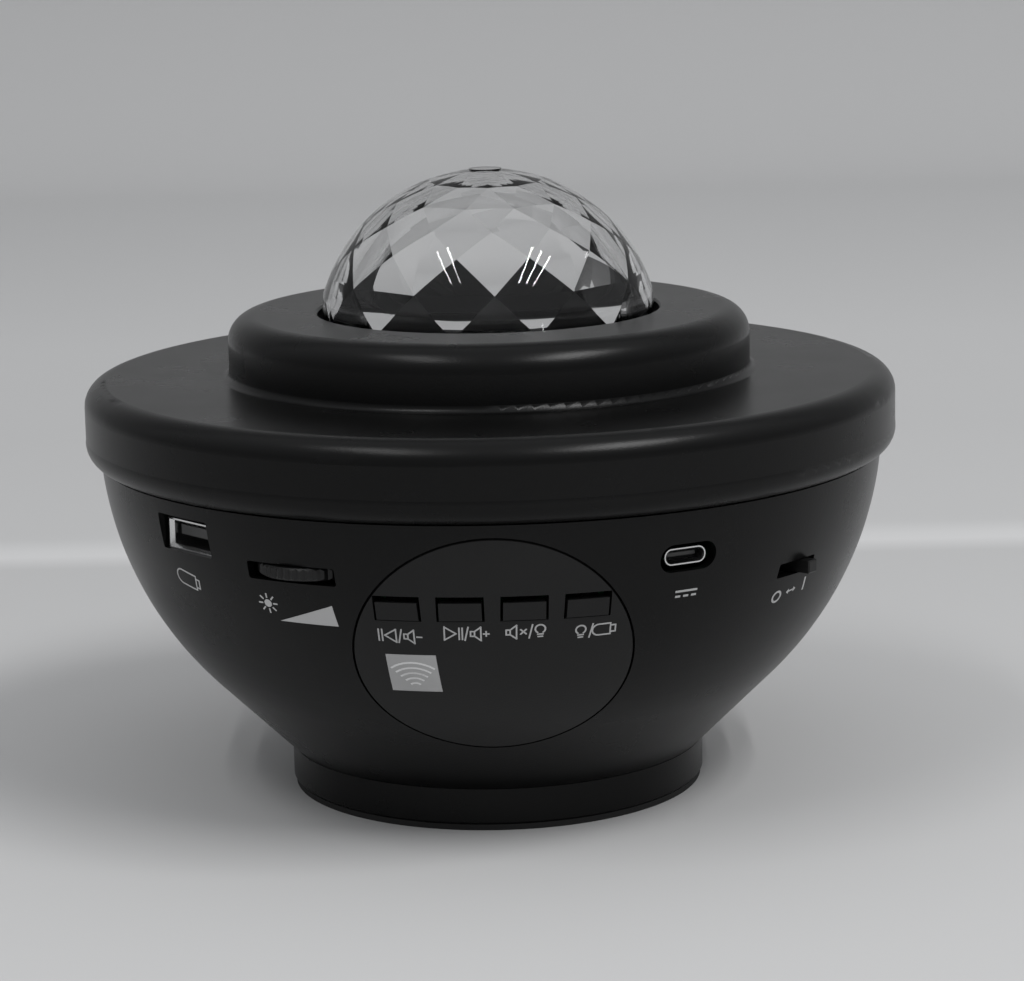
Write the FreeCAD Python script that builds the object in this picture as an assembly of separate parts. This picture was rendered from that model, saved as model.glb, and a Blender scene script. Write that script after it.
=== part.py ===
import FreeCAD, Part
import math
import os

# Star projector with a loudspeaker in its base: a round tabletop body with a
# faceted clear dome.  Millimetres, +Z up, controls towards -Y, origin in the
# middle of the underside.

# Shared fits
overrun = 1.0
slip_fit = 0.05
running_fit = 0.06
edge_gap = 0.30
thread_runout = 0.8

# Foot
pad_thickness = 1.2
pad_inset = 0.5
pad_width = 3.2
base_step = 0.1
base_height = 7.5
base_wall = 2.6
base_floor = 2.4
base_edge = 0.6
grille_hole_radius = 1.3
grille_pitch = 5.2
grille_rings = 3

# Bowl
seam_height = 70.6
bowl_rim_radius = 81.0
bowl_foot_radius = 43.4
bowl_wall = 2.2
bowl_floor = 2.5
bowl_flare_angle = 45.0
bowl_flare_width = 16.6
bowl_tongue_wall = 1.6
bowl_tongue_height = 3.2
bowl_tongue_depth = 4.0

# Top cover
skirt_height = 16.0
skirt_overhang = 3.0
skirt_wall = 2.6
skirt_fillet = 4.6
skirt_curl_height = 4.9
skirt_curl_start = 0.1
skirt_lip_height = 2.2
deck_wall = 2.4
collar_radius = 54.1
collar_height = 12.8
collar_wall = 2.9
collar_fillet = 5.4
collar_root_fillet = 1.5
collar_roof = 2.6
opening_chamfer = 0.4

# Screws: M3 in the case, M2 inside
case_screw_radius = 1.45
case_head_radius = 2.75
case_head_height = 2.0
case_screw_length = 8.0
case_boss_radius = 4.2
small_screw_radius = 0.95
small_head_radius = 1.9
small_head_height = 1.3
small_screw_length = 6.0
small_boss_radius = 2.6
driver_slot_width = 0.6
driver_slot_depth = 0.7
driver_slot_share = 0.6

# Screw places
tower_count = 4
tower_circle = 36.0
tower_azimuth = 45.0
tower_shoulder = 2.5
base_screw_azimuth = 0.0
base_counterbore = 4.5
base_boss_height = 4.0
cover_boss_count = 4
cover_boss_circle = 60.0
deck_boss_count = 4
deck_boss_inset = 4.1
deck_boss_azimuth = 30.0

# Loudspeaker
speaker_opening_radius = 24.0
speaker_flange_width = 6.0
speaker_flange_thickness = 1.2
speaker_screw_inset = 2.0
speaker_screw_count = 4
speaker_rim_step = 1.0
basket_wall = 1.0
basket_step = 1.6
basket_depth = 11.0
basket_back_radius = 13.0
basket_window_width = 9.0
magnet_radius = 15.0
magnet_thickness = 7.0
magnet_bore_radius = 2.8
pole_bore_radius = 6.5
voice_coil_radius = 5.5
cone_thickness = 0.5
cone_rim_gap = 0.6
cone_roll_width = 2.4
cone_depth = 5.4
dust_cap_height = 1.8

# Dome
dome_facets = 12
dome_azimuth = 2.8
dome_radius = 34.3
dome_height = 33.5
dome_bulge = 1.4
dome_shoulder_radius = 6.0
dome_cap_radius = 3.35
dome_cap_rise = 0.1
dome_wall = 1.8
dome_facet_rise = 2.9
dome_ring_angles = [23.1, 36.4, 47.0, 57.5, 70.2, 84.3]
dome_gap = 1.2
dome_flange_width = 3.5
dome_flange_thickness = 2.0

# Lamp deck under the dome
deck_thickness = 2.2
deck_gap = 2.6
deck_wall_height = 4.5
deck_wall_inset = 2.0
deck_wall_thickness = 2.4
lens_x = 13.0
lens_y = -12.0
lens_radius = 8.5
lens_flange_width = 1.1
lens_flange_thickness = 1.2
lens_bulge = 3.8
lens_window_inset = 0.7
lens_ring_width = 1.8
lens_ring_lip = 0.9
laser_x = -21.6
laser_y = -6.0
laser_radius = 5.0
laser_length = 20.0
laser_rise = 2.8
laser_bore_radius = 3.2
laser_bore_depth = 4.0
laser_lens_thickness = 1.2
laser_socket_wall = 2.0
laser_socket_depth = 1.6
laser_socket_rise = 1.6
grating_thickness = 0.8
grating_inset = 0.4

# Inner frame
frame_boss_height = 6.0
frame_thickness = 2.5
frame_radius = 56.0
frame_lug_radius = 4.4

# Turning wave disc and its drive
disc_x = 9.0
disc_y = 3.0
gear_module = 0.8
gear_pressure_angle = 25.0
gear_addendum_share = 0.8
gear_dedendum_share = 1.15
gear_backlash = 0.16
disc_teeth = 60
pinion_teeth = 12
drive_angle = 150.0
disc_thickness = 2.0
disc_rim_width = 3.2
disc_ripples = 18
ripple_depth = 0.5
ripple_radius = 1.6
hub_radius = 4.5
hub_drop = 3.6
hub_rise = 1.5
spindle_radius = 1.5
spindle_foot_depth = 6.0
spindle_overhang = 1.1
spindle_deck_gap = 0.3
spindle_boss_radius = 4.2
spindle_boss_height = 13.1
clip_thickness = 0.7
clip_width = 1.7
clip_mouth = 1.5
pinion_length = 3.6
motor_radius = 10.0
motor_height = 13.5
motor_nose_radius = 3.0
motor_nose_height = 0.8
shaft_radius = 1.0
shaft_tail = 4.0
clamp_wall = 1.8
clamp_height = 6.0
clamp_ear_thickness = 2.0
clamp_ear_radius = 3.4

# Light source
sink_side = 20.0
sink_height = 7.5
sink_base = 2.5
sink_fins = 5
sink_fin_wall = 1.6
led_board_thickness = 1.6
led_side = 2.4
led_height = 0.8
led_pitch = 4.2
led_screw_offset = 8.0
led_screw_length = 11.0
holder_wall = 1.0
holder_ledge = 1.2
holder_seat_height = 2.0
holder_height = 3.8
collimator_radius = 7.4
collimator_bulge = 2.8

# Main board
board_thickness = 1.6
board_post_height = 3.0
board_post_inset = 7.5
board_post_azimuths = [-66.0, 0.0, 66.0]
board_tower_gap = 2.8
board_edge_gap = 2.8
board_back_y = -14.0
board_notch_width = 53.0
board_notch_y = -56.0
chip_side = 7.0
chip_height = 1.2
chip_x = 14.0
chip_y = -47.5
amp_length = 6.0
amp_width = 4.4
amp_height = 1.5
amp_x = 37.0
amp_y = -39.0
capacitor_count = 3
capacitor_radius = 2.5
capacitor_height = 7.0
capacitor_pitch = 6.4
capacitor_x = -18.4
capacitor_y = -49.5

# USB-A socket
usb_a_azimuth = -48.2
usb_a_opening_width = 15.4
usb_a_opening_height = 7.2
usb_a_opening_rise = 0.55
usb_a_corner = 0.5
usb_a_width = 13.1
usb_a_height = 5.1
usb_a_length = 14.0
usb_a_sheet = 0.3
usb_a_recess = 2.7
usb_a_lip = 0.45
usb_a_lip_length = 0.9
usb_a_tongue_inset = 1.0
usb_a_tongue_thickness = 1.9
usb_a_tongue_length = 9.0
usb_a_tongue_drop = 0.8
usb_a_block_length = 3.6

# USB-C power inlet
usb_c_azimuth = 27.9
usb_c_opening_width = 12.2
usb_c_opening_height = 5.6
usb_c_rise = 0.5
usb_c_width = 9.0
usb_c_height = 3.2
usb_c_sheet = 0.25
usb_c_length = 7.6
usb_c_recess = 1.5
usb_c_tongue_inset = 1.15
usb_c_tongue_thickness = 0.7
usb_c_tongue_length = 4.0
usb_c_block_length = 1.6

# Brightness dial
dial_azimuth = -28.9
dial_slot_width = 19.4
dial_slot_height = 3.6
dial_slot_drop = 0.3
dial_slot_corner = 0.5
dial_radius = 11.0
dial_thickness = 2.4
dial_drop = 1.1
dial_proud = 1.7
dial_ribs = 44
dial_rib_depth = 0.35
dial_edge = 0.5
dial_shaft_radius = 1.6
dial_shaft_length = 4.0
dial_board_gap = 1.5
pot_radius = 4.4
pot_height = 5.0
pot_gap = 0.4
pot_arm_width = 7.0
pot_pad_gap = 0.1
pot_pad_length = 6.9
pot_rotor_floor = 0.6
dial_screw_head_radius = 2.2
dial_screw_head_height = 1.1
dial_screw_radius = 0.8
dial_screw_length = 4.0

# Power switch
switch_azimuth = 49.7
switch_slot_width = 11.6
switch_slot_height = 3.0
switch_slot_drop = 4.8
switch_slot_corner = 0.4
switch_body_width = 12.7
switch_body_depth = 6.6
switch_body_height = 7.2
switch_wall_gap = 1.1
switch_travel = 4.0
switch_cavity_depth = 2.4
switch_root_gap = 0.3
knob_width = 2.7
knob_height = 2.5
knob_proud = 2.5
knob_edge = 0.25

# Control panel
panel_tilt = 28.3
panel_centre = 71.45
panel_radius = 26.45
panel_groove = 0.45
panel_wall = 2.2
panel_rim_width = 1.9
panel_rim_depth = 1.6
panel_flange_reach = 2.6
panel_flange_gap = 0.1

# Keys
key_azimuths = [-13.45, -4.5, 4.45, 13.4]
key_width = 8.1
key_slit = 0.5
key_bottom_height = 51.3
key_length = 3.9
key_top_gap = 1.25
key_proud = 0.3
key_knuckle_radius = 0.75
key_knuckle_depth = 1.05
key_hinge_gap = 0.25
key_post_radius = 1.1
key_post_rise = 2.3
key_post_gap = 0.1

# Key board and its switches
key_board_depth = 6.1659
key_board_thickness = 1.6
key_board_margin = 3.5
tact_side = 4.5
tact_height = 3.4
plunger_radius = 1.4
plunger_rise = 0.9
plunger_root = 1.4
plunger_room = 0.4
panel_boss_radius = 1.45
panel_boss_lower_x = 6.0
panel_boss_lower = 60.5

# Remote receiver
window_azimuth = -12.4
window_width = 9.8
window_height = 8.4
window_centre = 39.8
window_depth = 1.1
window_hole = 5.0
receiver_width = 6.0
receiver_length = 6.6
receiver_depth = 3.0
receiver_bulge_radius = 1.9

# Heights and radii that follow from the sizes above
base_bottom = pad_thickness
base_top = base_bottom + base_height
base_radius = bowl_foot_radius + base_step
pad_radius = base_radius - pad_inset
bowl_floor_top = base_top + bowl_floor
body_radius = bowl_rim_radius + skirt_overhang
skirt_bottom = seam_height + edge_gap
deck_top_height = skirt_bottom + skirt_height
cover_ceiling = deck_top_height - deck_wall
collar_top_height = deck_top_height + collar_height
collar_ceiling = collar_top_height - collar_roof
collar_inner = collar_radius - collar_wall
dome_bottom = collar_ceiling - dome_flange_thickness
opening_radius = dome_radius + dome_gap
dome_flange_radius = opening_radius + dome_flange_width
dome_top = dome_bottom + dome_height
dome_round_radius = dome_radius + dome_bulge
dome_round_centre = dome_top - dome_cap_rise - dome_round_radius
deck_top = dome_bottom - deck_wall_height
deck_bottom = deck_top - deck_thickness
deck_radius = collar_inner - deck_gap
deck_boss_circle = deck_radius - deck_boss_inset
lens_flange_radius = lens_radius + lens_flange_width
lens_flange_top = deck_top + lens_flange_thickness
laser_top = deck_top + laser_rise
disc_stack_height = spindle_boss_height + edge_gap + hub_drop + disc_thickness + hub_rise
frame_top = deck_bottom - spindle_deck_gap - spindle_overhang - disc_stack_height
frame_bottom = frame_top - frame_thickness
tower_top_height = frame_bottom - frame_boss_height
board_top = frame_bottom - board_post_height
board_bottom = board_top - board_thickness
board_inner_radius = tower_circle + case_boss_radius + board_tower_gap
board_post_circle = board_inner_radius + board_post_inset
spindle_boss_top = frame_top + spindle_boss_height
hub_bottom = spindle_boss_top + edge_gap
disc_bottom = hub_bottom + hub_drop
disc_top = disc_bottom + disc_thickness
hub_top = disc_top + hub_rise
disc_pitch_radius = gear_module * disc_teeth / 2
pinion_pitch_radius = gear_module * pinion_teeth / 2
drive_distance = disc_pitch_radius + pinion_pitch_radius
pinion_x = disc_x + drive_distance * math.cos(math.radians(drive_angle))
pinion_y = disc_y + drive_distance * math.sin(math.radians(drive_angle))
pinion_bottom = disc_bottom - (pinion_length - disc_thickness) / 2
pinion_top = pinion_bottom + pinion_length
motor_top = frame_top + motor_height
clamp_ear_reach = motor_radius + clamp_wall + clamp_ear_radius
sink_top = frame_top + sink_height
led_board_top = sink_top + led_board_thickness
speaker_flange_radius = speaker_opening_radius + speaker_flange_width
speaker_flange_top = bowl_floor_top + speaker_flange_thickness
speaker_screw_circle = speaker_flange_radius - speaker_screw_inset
speaker_rim_radius = speaker_opening_radius + speaker_rim_step
usb_a_opening_centre = board_top + usb_a_height / 2 + usb_a_opening_rise
usb_c_centre = board_top + usb_c_rise
dial_centre = board_top - dial_drop
dial_bottom = dial_centre - dial_thickness / 2
dial_top = dial_centre + dial_thickness / 2
switch_slot_centre = board_bottom - switch_slot_drop
key_post_height = key_bottom_height + key_post_rise


# Helpers

def cylinder(radius, bottom, top, x=0, y=0):
    return Part.makeCylinder(radius, top - bottom, FreeCAD.Vector(x, y, bottom))


def tube(inner, outer, bottom, top, x=0, y=0):
    bore = cylinder(inner, bottom - overrun, top + overrun, x, y)
    return cylinder(outer, bottom, top, x, y).cut(bore)


def block(x0, x1, y0, y1, z0, z1):
    return Part.makeBox(x1 - x0, y1 - y0, z1 - z0, FreeCAD.Vector(x0, y0, z0))


def turned_to(shape, azimuth):
    """Turn a piece built facing -Y round the upright axis."""
    turned = shape.copy()
    turned.rotate(FreeCAD.Vector(0, 0, 0), FreeCAD.Vector(0, 0, 1), azimuth)
    return turned


def tilted(shape):
    """Tilt a piece built facing -Y down to the slope of the control panel."""
    turned = shape.copy()
    turned.rotate(FreeCAD.Vector(0, 0, 0), FreeCAD.Vector(1, 0, 0), panel_tilt)
    return turned


def polar(circle, azimuth):
    angle = math.radians(azimuth)
    return circle * math.sin(angle), -circle * math.cos(angle)


def spaced(circle, count, first=0):
    """Places of a ring of equal pieces."""
    return [polar(circle, first + 360 * i / count) for i in range(count)]


def fused(shapes):
    whole = shapes[0]
    if len(shapes) > 1:
        whole = whole.multiFuse(shapes[1:])
    return whole.removeSplitter()


def spun(edges):
    face = Part.Face(Part.Wire(Part.__sortEdges__(edges)))
    return face.revolve(FreeCAD.Vector(0, 0, 0), FreeCAD.Vector(0, 0, 1), 360)


def outline(points):
    """Straight edges through (radius, height) points, closed."""
    corners = [FreeCAD.Vector(r, 0, z) for r, z in points]
    ends = corners[1:] + corners[:1]
    return [Part.LineSegment(a, b).toShape() for a, b in zip(corners, ends)]


def arc_edge(centre, radius, start, end):
    """Arc about a (radius, height) centre between two angles in degrees."""
    points = []
    for angle in (start, (start + end) / 2, end):
        turn = math.radians(angle)
        r = centre[0] + radius * math.cos(turn)
        z = centre[1] + radius * math.sin(turn)
        points.append(FreeCAD.Vector(r, 0, z))
    return Part.Arc(*points).toShape()


def line_edge(a, b):
    return Part.LineSegment(FreeCAD.Vector(a[0], 0, a[1]), FreeCAD.Vector(b[0], 0, b[1])).toShape()


def rounded_bar(width, height, corner, y0, y1, centre_height):
    """Bar along Y with rounded corners, for holes in the wall."""
    bar = block(-width / 2, width / 2, y0, y1, centre_height - height / 2, centre_height + height / 2)
    long_edges = []
    for edge in bar.Edges:
        a, b = edge.Vertexes[0].Point, edge.Vertexes[1].Point
        if abs(a.y - b.y) > abs(y1 - y0) / 2:
            long_edges.append(edge)
    return bar.makeFillet(corner, long_edges)


def screw(radius, length, head_radius, head_height, seat, x, y, upward):
    """Pan-head screw whose head seats at the given height."""
    sign = 1 if upward else -1
    tip = seat + sign * length
    crown = seat - sign * head_height
    shank = cylinder(radius, min(seat, tip), max(seat, tip), x, y)
    head = cylinder(head_radius, min(seat, crown), max(seat, crown), x, y)
    cut_end = crown + sign * driver_slot_depth
    low = min(crown - sign * overrun, cut_end)
    high = max(crown - sign * overrun, cut_end)
    long_half = head_radius * driver_slot_share
    thin_half = driver_slot_width / 2
    for half_x, half_y in ((long_half, thin_half), (thin_half, long_half)):
        head = head.cut(block(x - half_x, x + half_x, y - half_y, y + half_y, low, high))
    return shank.fuse(head).removeSplitter()


def case_screw(seat, x, y):
    return screw(case_screw_radius, case_screw_length, case_head_radius, case_head_height, seat, x, y, True)


def small_screw(length, seat, x, y, upward):
    return screw(small_screw_radius, length, small_head_radius, small_head_height, seat, x, y, upward)


def case_hole(bottom, top, x, y):
    return cylinder(case_screw_radius + slip_fit, bottom, top, x, y)


def small_hole(bottom, top, x, y):
    return cylinder(small_screw_radius + slip_fit, bottom, top, x, y)


# Bowl surface

def bowl_arc():
    """Centre and radius of the arc that runs from the straight flare to the rim."""
    angle = math.radians(bowl_flare_angle)
    start_r = bowl_foot_radius + bowl_flare_width
    start_z = base_top + bowl_flare_width * math.tan(angle)
    across = bowl_rim_radius - start_r
    rise = seam_height - start_z
    lean = rise * math.cos(angle) - across * math.sin(angle)
    radius = (across * across + rise * rise) / (2 * lean)
    return start_r - radius * math.sin(angle), start_z + radius * math.cos(angle), radius


def bowl_join(depth):
    """Where flare and arc meet on the surface moved inwards by a depth."""
    angle = math.radians(bowl_flare_angle)
    centre_r, centre_z, radius = bowl_arc()
    return centre_r + (radius - depth) * math.sin(angle), centre_z - (radius - depth) * math.cos(angle)


def bowl_edges(depth, low, high):
    """Profile of the bowl surface moved inwards by a depth, between two heights."""
    join = bowl_join(depth)
    centre_r, centre_z, radius = bowl_arc()
    reach = radius - depth
    end = math.degrees(math.asin((high - centre_z) / reach))
    flare = line_edge((bowl_radius_at(low, depth), low), join)
    return [flare, arc_edge((centre_r, centre_z), reach, bowl_flare_angle - 90, end)]


def bowl_solid(depth):
    """Everything inside the bowl surface moved inwards by a depth."""
    crest = seam_height + overrun
    edges = bowl_edges(depth, base_top, crest)
    edges.append(line_edge((bowl_radius_at(crest, depth), crest), (0, crest)))
    edges.append(line_edge((0, crest), (0, base_top)))
    edges.append(line_edge((0, base_top), (bowl_radius_at(base_top, depth), base_top)))
    return spun(edges)


def bowl_radius_at(height, depth):
    join_r, join_z = bowl_join(depth)
    if height < join_z:
        return join_r - (join_z - height) / math.tan(math.radians(bowl_flare_angle))
    centre_r, centre_z, radius = bowl_arc()
    return centre_r + math.sqrt((radius - depth) ** 2 - (height - centre_z) ** 2)


def wall_layer(outer_depth, inner_depth):
    return bowl_solid(outer_depth).cut(bowl_solid(inner_depth))


def panel_plug(radius):
    """Cylinder square to the control panel, through the wall."""
    reach = bowl_rim_radius + body_radius
    plug = Part.makeCylinder(radius, reach, FreeCAD.Vector(0, 0, panel_centre), FreeCAD.Vector(0, -1, 0))
    return tilted(plug)


# Housing

def cover_bosses():
    parts = []
    for x, y in spaced(cover_boss_circle, cover_boss_count):
        parts.append(cylinder(case_boss_radius, frame_top, cover_ceiling + deck_wall / 2, x, y))
    for x, y in spaced(deck_boss_circle, deck_boss_count, deck_boss_azimuth):
        parts.append(cylinder(small_boss_radius, deck_top, collar_ceiling + collar_roof / 2, x, y))
    return parts


def cover_holes():
    parts = []
    for x, y in spaced(cover_boss_circle, cover_boss_count):
        parts.append(case_hole(frame_top - overrun, frame_bottom + case_screw_length + thread_runout, x, y))
    for x, y in spaced(deck_boss_circle, deck_boss_count, deck_boss_azimuth):
        parts.append(small_hole(deck_top - overrun, deck_bottom + small_screw_length + thread_runout, x, y))
    return parts


def top_cover():
    fillet_r = body_radius - skirt_fillet
    fillet_z = deck_top_height - skirt_fillet
    root_r = collar_radius + collar_root_fillet
    root_z = deck_top_height + collar_root_fillet
    crown_r = collar_radius - collar_fillet
    crown_z = collar_top_height - collar_fillet
    curl_top = skirt_bottom + skirt_curl_height
    lip_radius = bowl_rim_radius + skirt_curl_start
    curl_inset = body_radius - lip_radius
    bulge = math.sin(math.radians(45))
    curl_middle = (lip_radius + curl_inset * bulge, curl_top - skirt_curl_height * bulge)
    lip_inner = bowl_rim_radius - bowl_wall + edge_gap
    lip_top = skirt_bottom + skirt_lip_height
    inner_r = body_radius - skirt_wall
    curl = Part.Arc(FreeCAD.Vector(lip_radius, 0, skirt_bottom),
                    FreeCAD.Vector(curl_middle[0], 0, curl_middle[1]),
                    FreeCAD.Vector(body_radius, 0, curl_top)).toShape()
    edges = [
        line_edge((lip_inner, skirt_bottom), (lip_radius, skirt_bottom)),
        curl,
        line_edge((body_radius, curl_top), (body_radius, fillet_z)),
        arc_edge((fillet_r, fillet_z), skirt_fillet, 0, 90),
        line_edge((fillet_r, deck_top_height), (root_r, deck_top_height)),
        arc_edge((root_r, root_z), collar_root_fillet, 270, 180),
        line_edge((collar_radius, root_z), (collar_radius, crown_z)),
        arc_edge((crown_r, crown_z), collar_fillet, 0, 90),
        line_edge((crown_r, collar_top_height), (opening_radius + opening_chamfer, collar_top_height)),
        line_edge((opening_radius + opening_chamfer, collar_top_height),
                  (opening_radius, collar_top_height - opening_chamfer)),
        line_edge((opening_radius, collar_top_height - opening_chamfer), (opening_radius, collar_ceiling)),
        line_edge((opening_radius, collar_ceiling), (collar_inner, collar_ceiling)),
        line_edge((collar_inner, collar_ceiling), (collar_inner, cover_ceiling)),
        line_edge((collar_inner, cover_ceiling), (inner_r, cover_ceiling)),
        line_edge((inner_r, cover_ceiling), (inner_r, lip_top)),
        line_edge((inner_r, lip_top), (lip_inner, lip_top)),
        line_edge((lip_inner, lip_top), (lip_inner, skirt_bottom)),
    ]
    shell = fused([spun(edges)] + cover_bosses())
    for hole in cover_holes():
        shell = shell.cut(hole)
    return shell


def usb_a_opening():
    bar = rounded_bar(usb_a_opening_width, usb_a_opening_height, usb_a_corner,
                      -body_radius, -board_inner_radius, usb_a_opening_centre)
    return turned_to(bar, usb_a_azimuth)


def usb_c_opening():
    corner = usb_c_opening_height / 2 - slip_fit
    bar = rounded_bar(usb_c_opening_width, usb_c_opening_height, corner,
                      -body_radius, -board_inner_radius, usb_c_centre)
    return turned_to(bar, usb_c_azimuth)


def dial_opening():
    bar = rounded_bar(dial_slot_width, dial_slot_height, dial_slot_corner,
                      -body_radius, -board_inner_radius, dial_centre - dial_slot_drop)
    return turned_to(bar, dial_azimuth)


def switch_opening():
    bar = rounded_bar(switch_slot_width, switch_slot_height, switch_slot_corner,
                      -body_radius, -board_inner_radius, switch_slot_centre)
    return turned_to(bar, switch_azimuth)


def bowl_towers():
    parts = []
    for x, y in spaced(tower_circle, tower_count, tower_azimuth):
        parts.append(cylinder(case_boss_radius, base_top, tower_top_height, x, y))
    for x, y in spaced(tower_circle, tower_count, base_screw_azimuth):
        parts.append(cylinder(case_boss_radius, base_top, bowl_floor_top + base_boss_height, x, y))
    return parts


def bowl_holes():
    parts = []
    shoulder = tower_top_height - tower_shoulder
    for x, y in spaced(tower_circle, tower_count, tower_azimuth):
        parts.append(cylinder(case_head_radius + edge_gap, base_top - overrun, shoulder, x, y))
        parts.append(case_hole(shoulder - overrun, tower_top_height + overrun, x, y))
    for x, y in spaced(tower_circle, tower_count, base_screw_azimuth):
        end = base_bottom + base_counterbore + case_screw_length + thread_runout
        parts.append(case_hole(base_top - overrun, end, x, y))
    for x, y in spaced(speaker_screw_circle, speaker_screw_count, tower_azimuth):
        parts.append(small_hole(base_top - overrun, bowl_floor_top + overrun, x, y))
    return parts


def bowl_shell():
    """Wall, floor and the tongue that stands up inside the cover's edge."""
    step_height = seam_height - bowl_tongue_depth
    tongue_outer = bowl_rim_radius - bowl_wall
    tongue_inner = tongue_outer - bowl_tongue_wall
    tongue_top = seam_height + bowl_tongue_height
    rim_corners = [
        (bowl_rim_radius, seam_height),
        (tongue_outer, seam_height),
        (tongue_outer, tongue_top),
        (tongue_inner, tongue_top),
        (tongue_inner, step_height),
        (bowl_radius_at(step_height, bowl_wall), step_height),
    ]
    floor_corners = [
        (bowl_radius_at(bowl_floor_top, bowl_wall), bowl_floor_top),
        (speaker_opening_radius, bowl_floor_top),
        (speaker_opening_radius, base_top),
        (bowl_foot_radius, base_top),
    ]
    edges = bowl_edges(0, base_top, seam_height) + bowl_edges(bowl_wall, bowl_floor_top, step_height)
    for run in (rim_corners, floor_corners):
        edges += [line_edge(a, b) for a, b in zip(run, run[1:])]
    return spun(edges)


def flange_room():
    """Space behind the wall that the control panel's flange takes."""
    start = bowl_wall + panel_flange_gap / 2
    end = panel_wall + panel_flange_gap + panel_rim_depth + edge_gap
    return wall_layer(start, end).common(panel_plug(panel_radius + panel_flange_reach + edge_gap))


def bowl_housing():
    shell = bowl_shell().cut(panel_plug(panel_radius + panel_groove))
    shell = shell.cut(flange_room())
    for opening in (usb_a_opening(), usb_c_opening(), dial_opening(), switch_opening()):
        shell = shell.cut(opening)
    shell = fused([shell] + bowl_towers())
    for hole in bowl_holes():
        shell = shell.cut(hole)
    return shell


def grille_places():
    places = [(0, 0)]
    for ring in range(1, grille_rings + 1):
        for i in range(6 * ring):
            places.append(polar(ring * grille_pitch, 360 * i / (6 * ring)))
    return places


def base_cover():
    cup = cylinder(base_radius, base_bottom, base_top)
    lower_edges = [e for e in cup.Edges if e.BoundBox.ZMax < base_bottom + base_edge]
    cup = cup.makeChamfer(base_edge, lower_edges)
    cup = cup.cut(cylinder(base_radius - base_wall, base_bottom + base_floor, base_top + overrun))
    places = spaced(tower_circle, tower_count, base_screw_azimuth)
    pillars = [cylinder(case_boss_radius, base_bottom + base_floor / 2, base_top, x, y) for x, y in places]
    cup = fused([cup] + pillars)
    for x, y in places:
        seat = base_bottom + base_counterbore
        cup = cup.cut(cylinder(case_head_radius + edge_gap, base_bottom - overrun, seat, x, y))
        cup = cup.cut(case_hole(base_bottom, base_top + overrun, x, y))
    low = base_bottom - overrun
    high = base_bottom + base_floor + overrun
    holes = [cylinder(grille_hole_radius, low, high, x, y) for x, y in grille_places()]
    return cup.cut(Part.makeCompound(holes))


def foot_pad():
    return tube(pad_radius - pad_width, pad_radius, 0, pad_thickness)


def base_screws():
    seat = base_bottom + base_counterbore
    places = spaced(tower_circle, tower_count, base_screw_azimuth)
    return Part.makeCompound([case_screw(seat, x, y) for x, y in places])


def case_screws():
    seat = tower_top_height - tower_shoulder
    towers = spaced(tower_circle, tower_count, tower_azimuth)
    lugs = spaced(cover_boss_circle, cover_boss_count)
    parts = [case_screw(seat, x, y) for x, y in towers]
    parts += [case_screw(frame_bottom, x, y) for x, y in lugs]
    return Part.makeCompound(parts)


# Dome and deck

def ring_points(radius, height, turn):
    step = 360 / dome_facets
    points = []
    for i in range(dome_facets):
        x, y = polar(radius, dome_azimuth + step * i + turn * step / 2)
        points.append(FreeCAD.Vector(x, y, height))
    return points


def band_faces(low, high, low_turn, high_turn):
    """Flat facets between two rings of corners."""
    faces = []
    count = len(low)
    for i in range(count):
        j = (i + 1) % count
        if low_turn == high_turn:
            corners = [[low[i], low[j], high[j], high[i]]]
        elif low_turn:
            corners = [[low[i], low[j], high[j]], [low[i], high[j], high[i]]]
        else:
            corners = [[low[i], low[j], high[i]], [low[j], high[j], high[i]]]
        for ring in corners:
            faces.append(Part.Face(Part.makePolygon(ring + ring[:1])))
    return faces


def dome_outside():
    """Smooth outside: flange, upright wall, shoulder, round top and a small flat cap."""
    inset = dome_radius - dome_shoulder_radius
    reach = dome_round_radius - dome_shoulder_radius
    shoulder = dome_round_centre + math.sqrt(reach ** 2 - inset ** 2)
    shoulder_turn = math.degrees(math.acos(inset / reach))
    cap_turn = math.degrees(math.acos(dome_cap_radius / dome_round_radius))
    cap_foot = dome_round_centre + math.sqrt(dome_round_radius ** 2 - dome_cap_radius ** 2)
    return spun([
        line_edge((0, dome_bottom), (dome_flange_radius, dome_bottom)),
        line_edge((dome_flange_radius, dome_bottom), (dome_flange_radius, collar_ceiling)),
        line_edge((dome_flange_radius, collar_ceiling), (dome_radius, collar_ceiling)),
        line_edge((dome_radius, collar_ceiling), (dome_radius, shoulder)),
        arc_edge((inset, shoulder), dome_shoulder_radius, 0, shoulder_turn),
        arc_edge((0, dome_round_centre), dome_round_radius, shoulder_turn, cap_turn),
        line_edge((dome_cap_radius, cap_foot), (dome_cap_radius, dome_top)),
        line_edge((dome_cap_radius, dome_top), (0, dome_top)),
        line_edge((0, dome_top), (0, dome_bottom)),
    ])


def dome_inside():
    """Faceted hollow: rings of corners, every other ring turned by half a facet."""
    wall_radius = dome_radius - dome_wall
    round_radius = dome_round_radius - dome_wall
    rings = [(wall_radius, dome_bottom - overrun, 1), (wall_radius, dome_bottom + dome_facet_rise, 1)]
    for i, angle in enumerate(dome_ring_angles):
        turn = math.radians(angle)
        rings.append((round_radius * math.cos(turn), dome_round_centre + round_radius * math.sin(turn), i % 2))
    corners = [ring_points(radius, height, turn) for radius, height, turn in rings]
    faces = [Part.Face(Part.makePolygon(ring + ring[:1])) for ring in (corners[0], corners[-1])]
    for i in range(len(rings) - 1):
        faces += band_faces(corners[i], corners[i + 1], rings[i][2], rings[i + 1][2])
    solid = Part.makeSolid(Part.makeShell(faces))
    if solid.Volume < 0:
        solid.reverse()
    return solid


def dome_lens():
    return dome_outside().cut(dome_inside())


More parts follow.
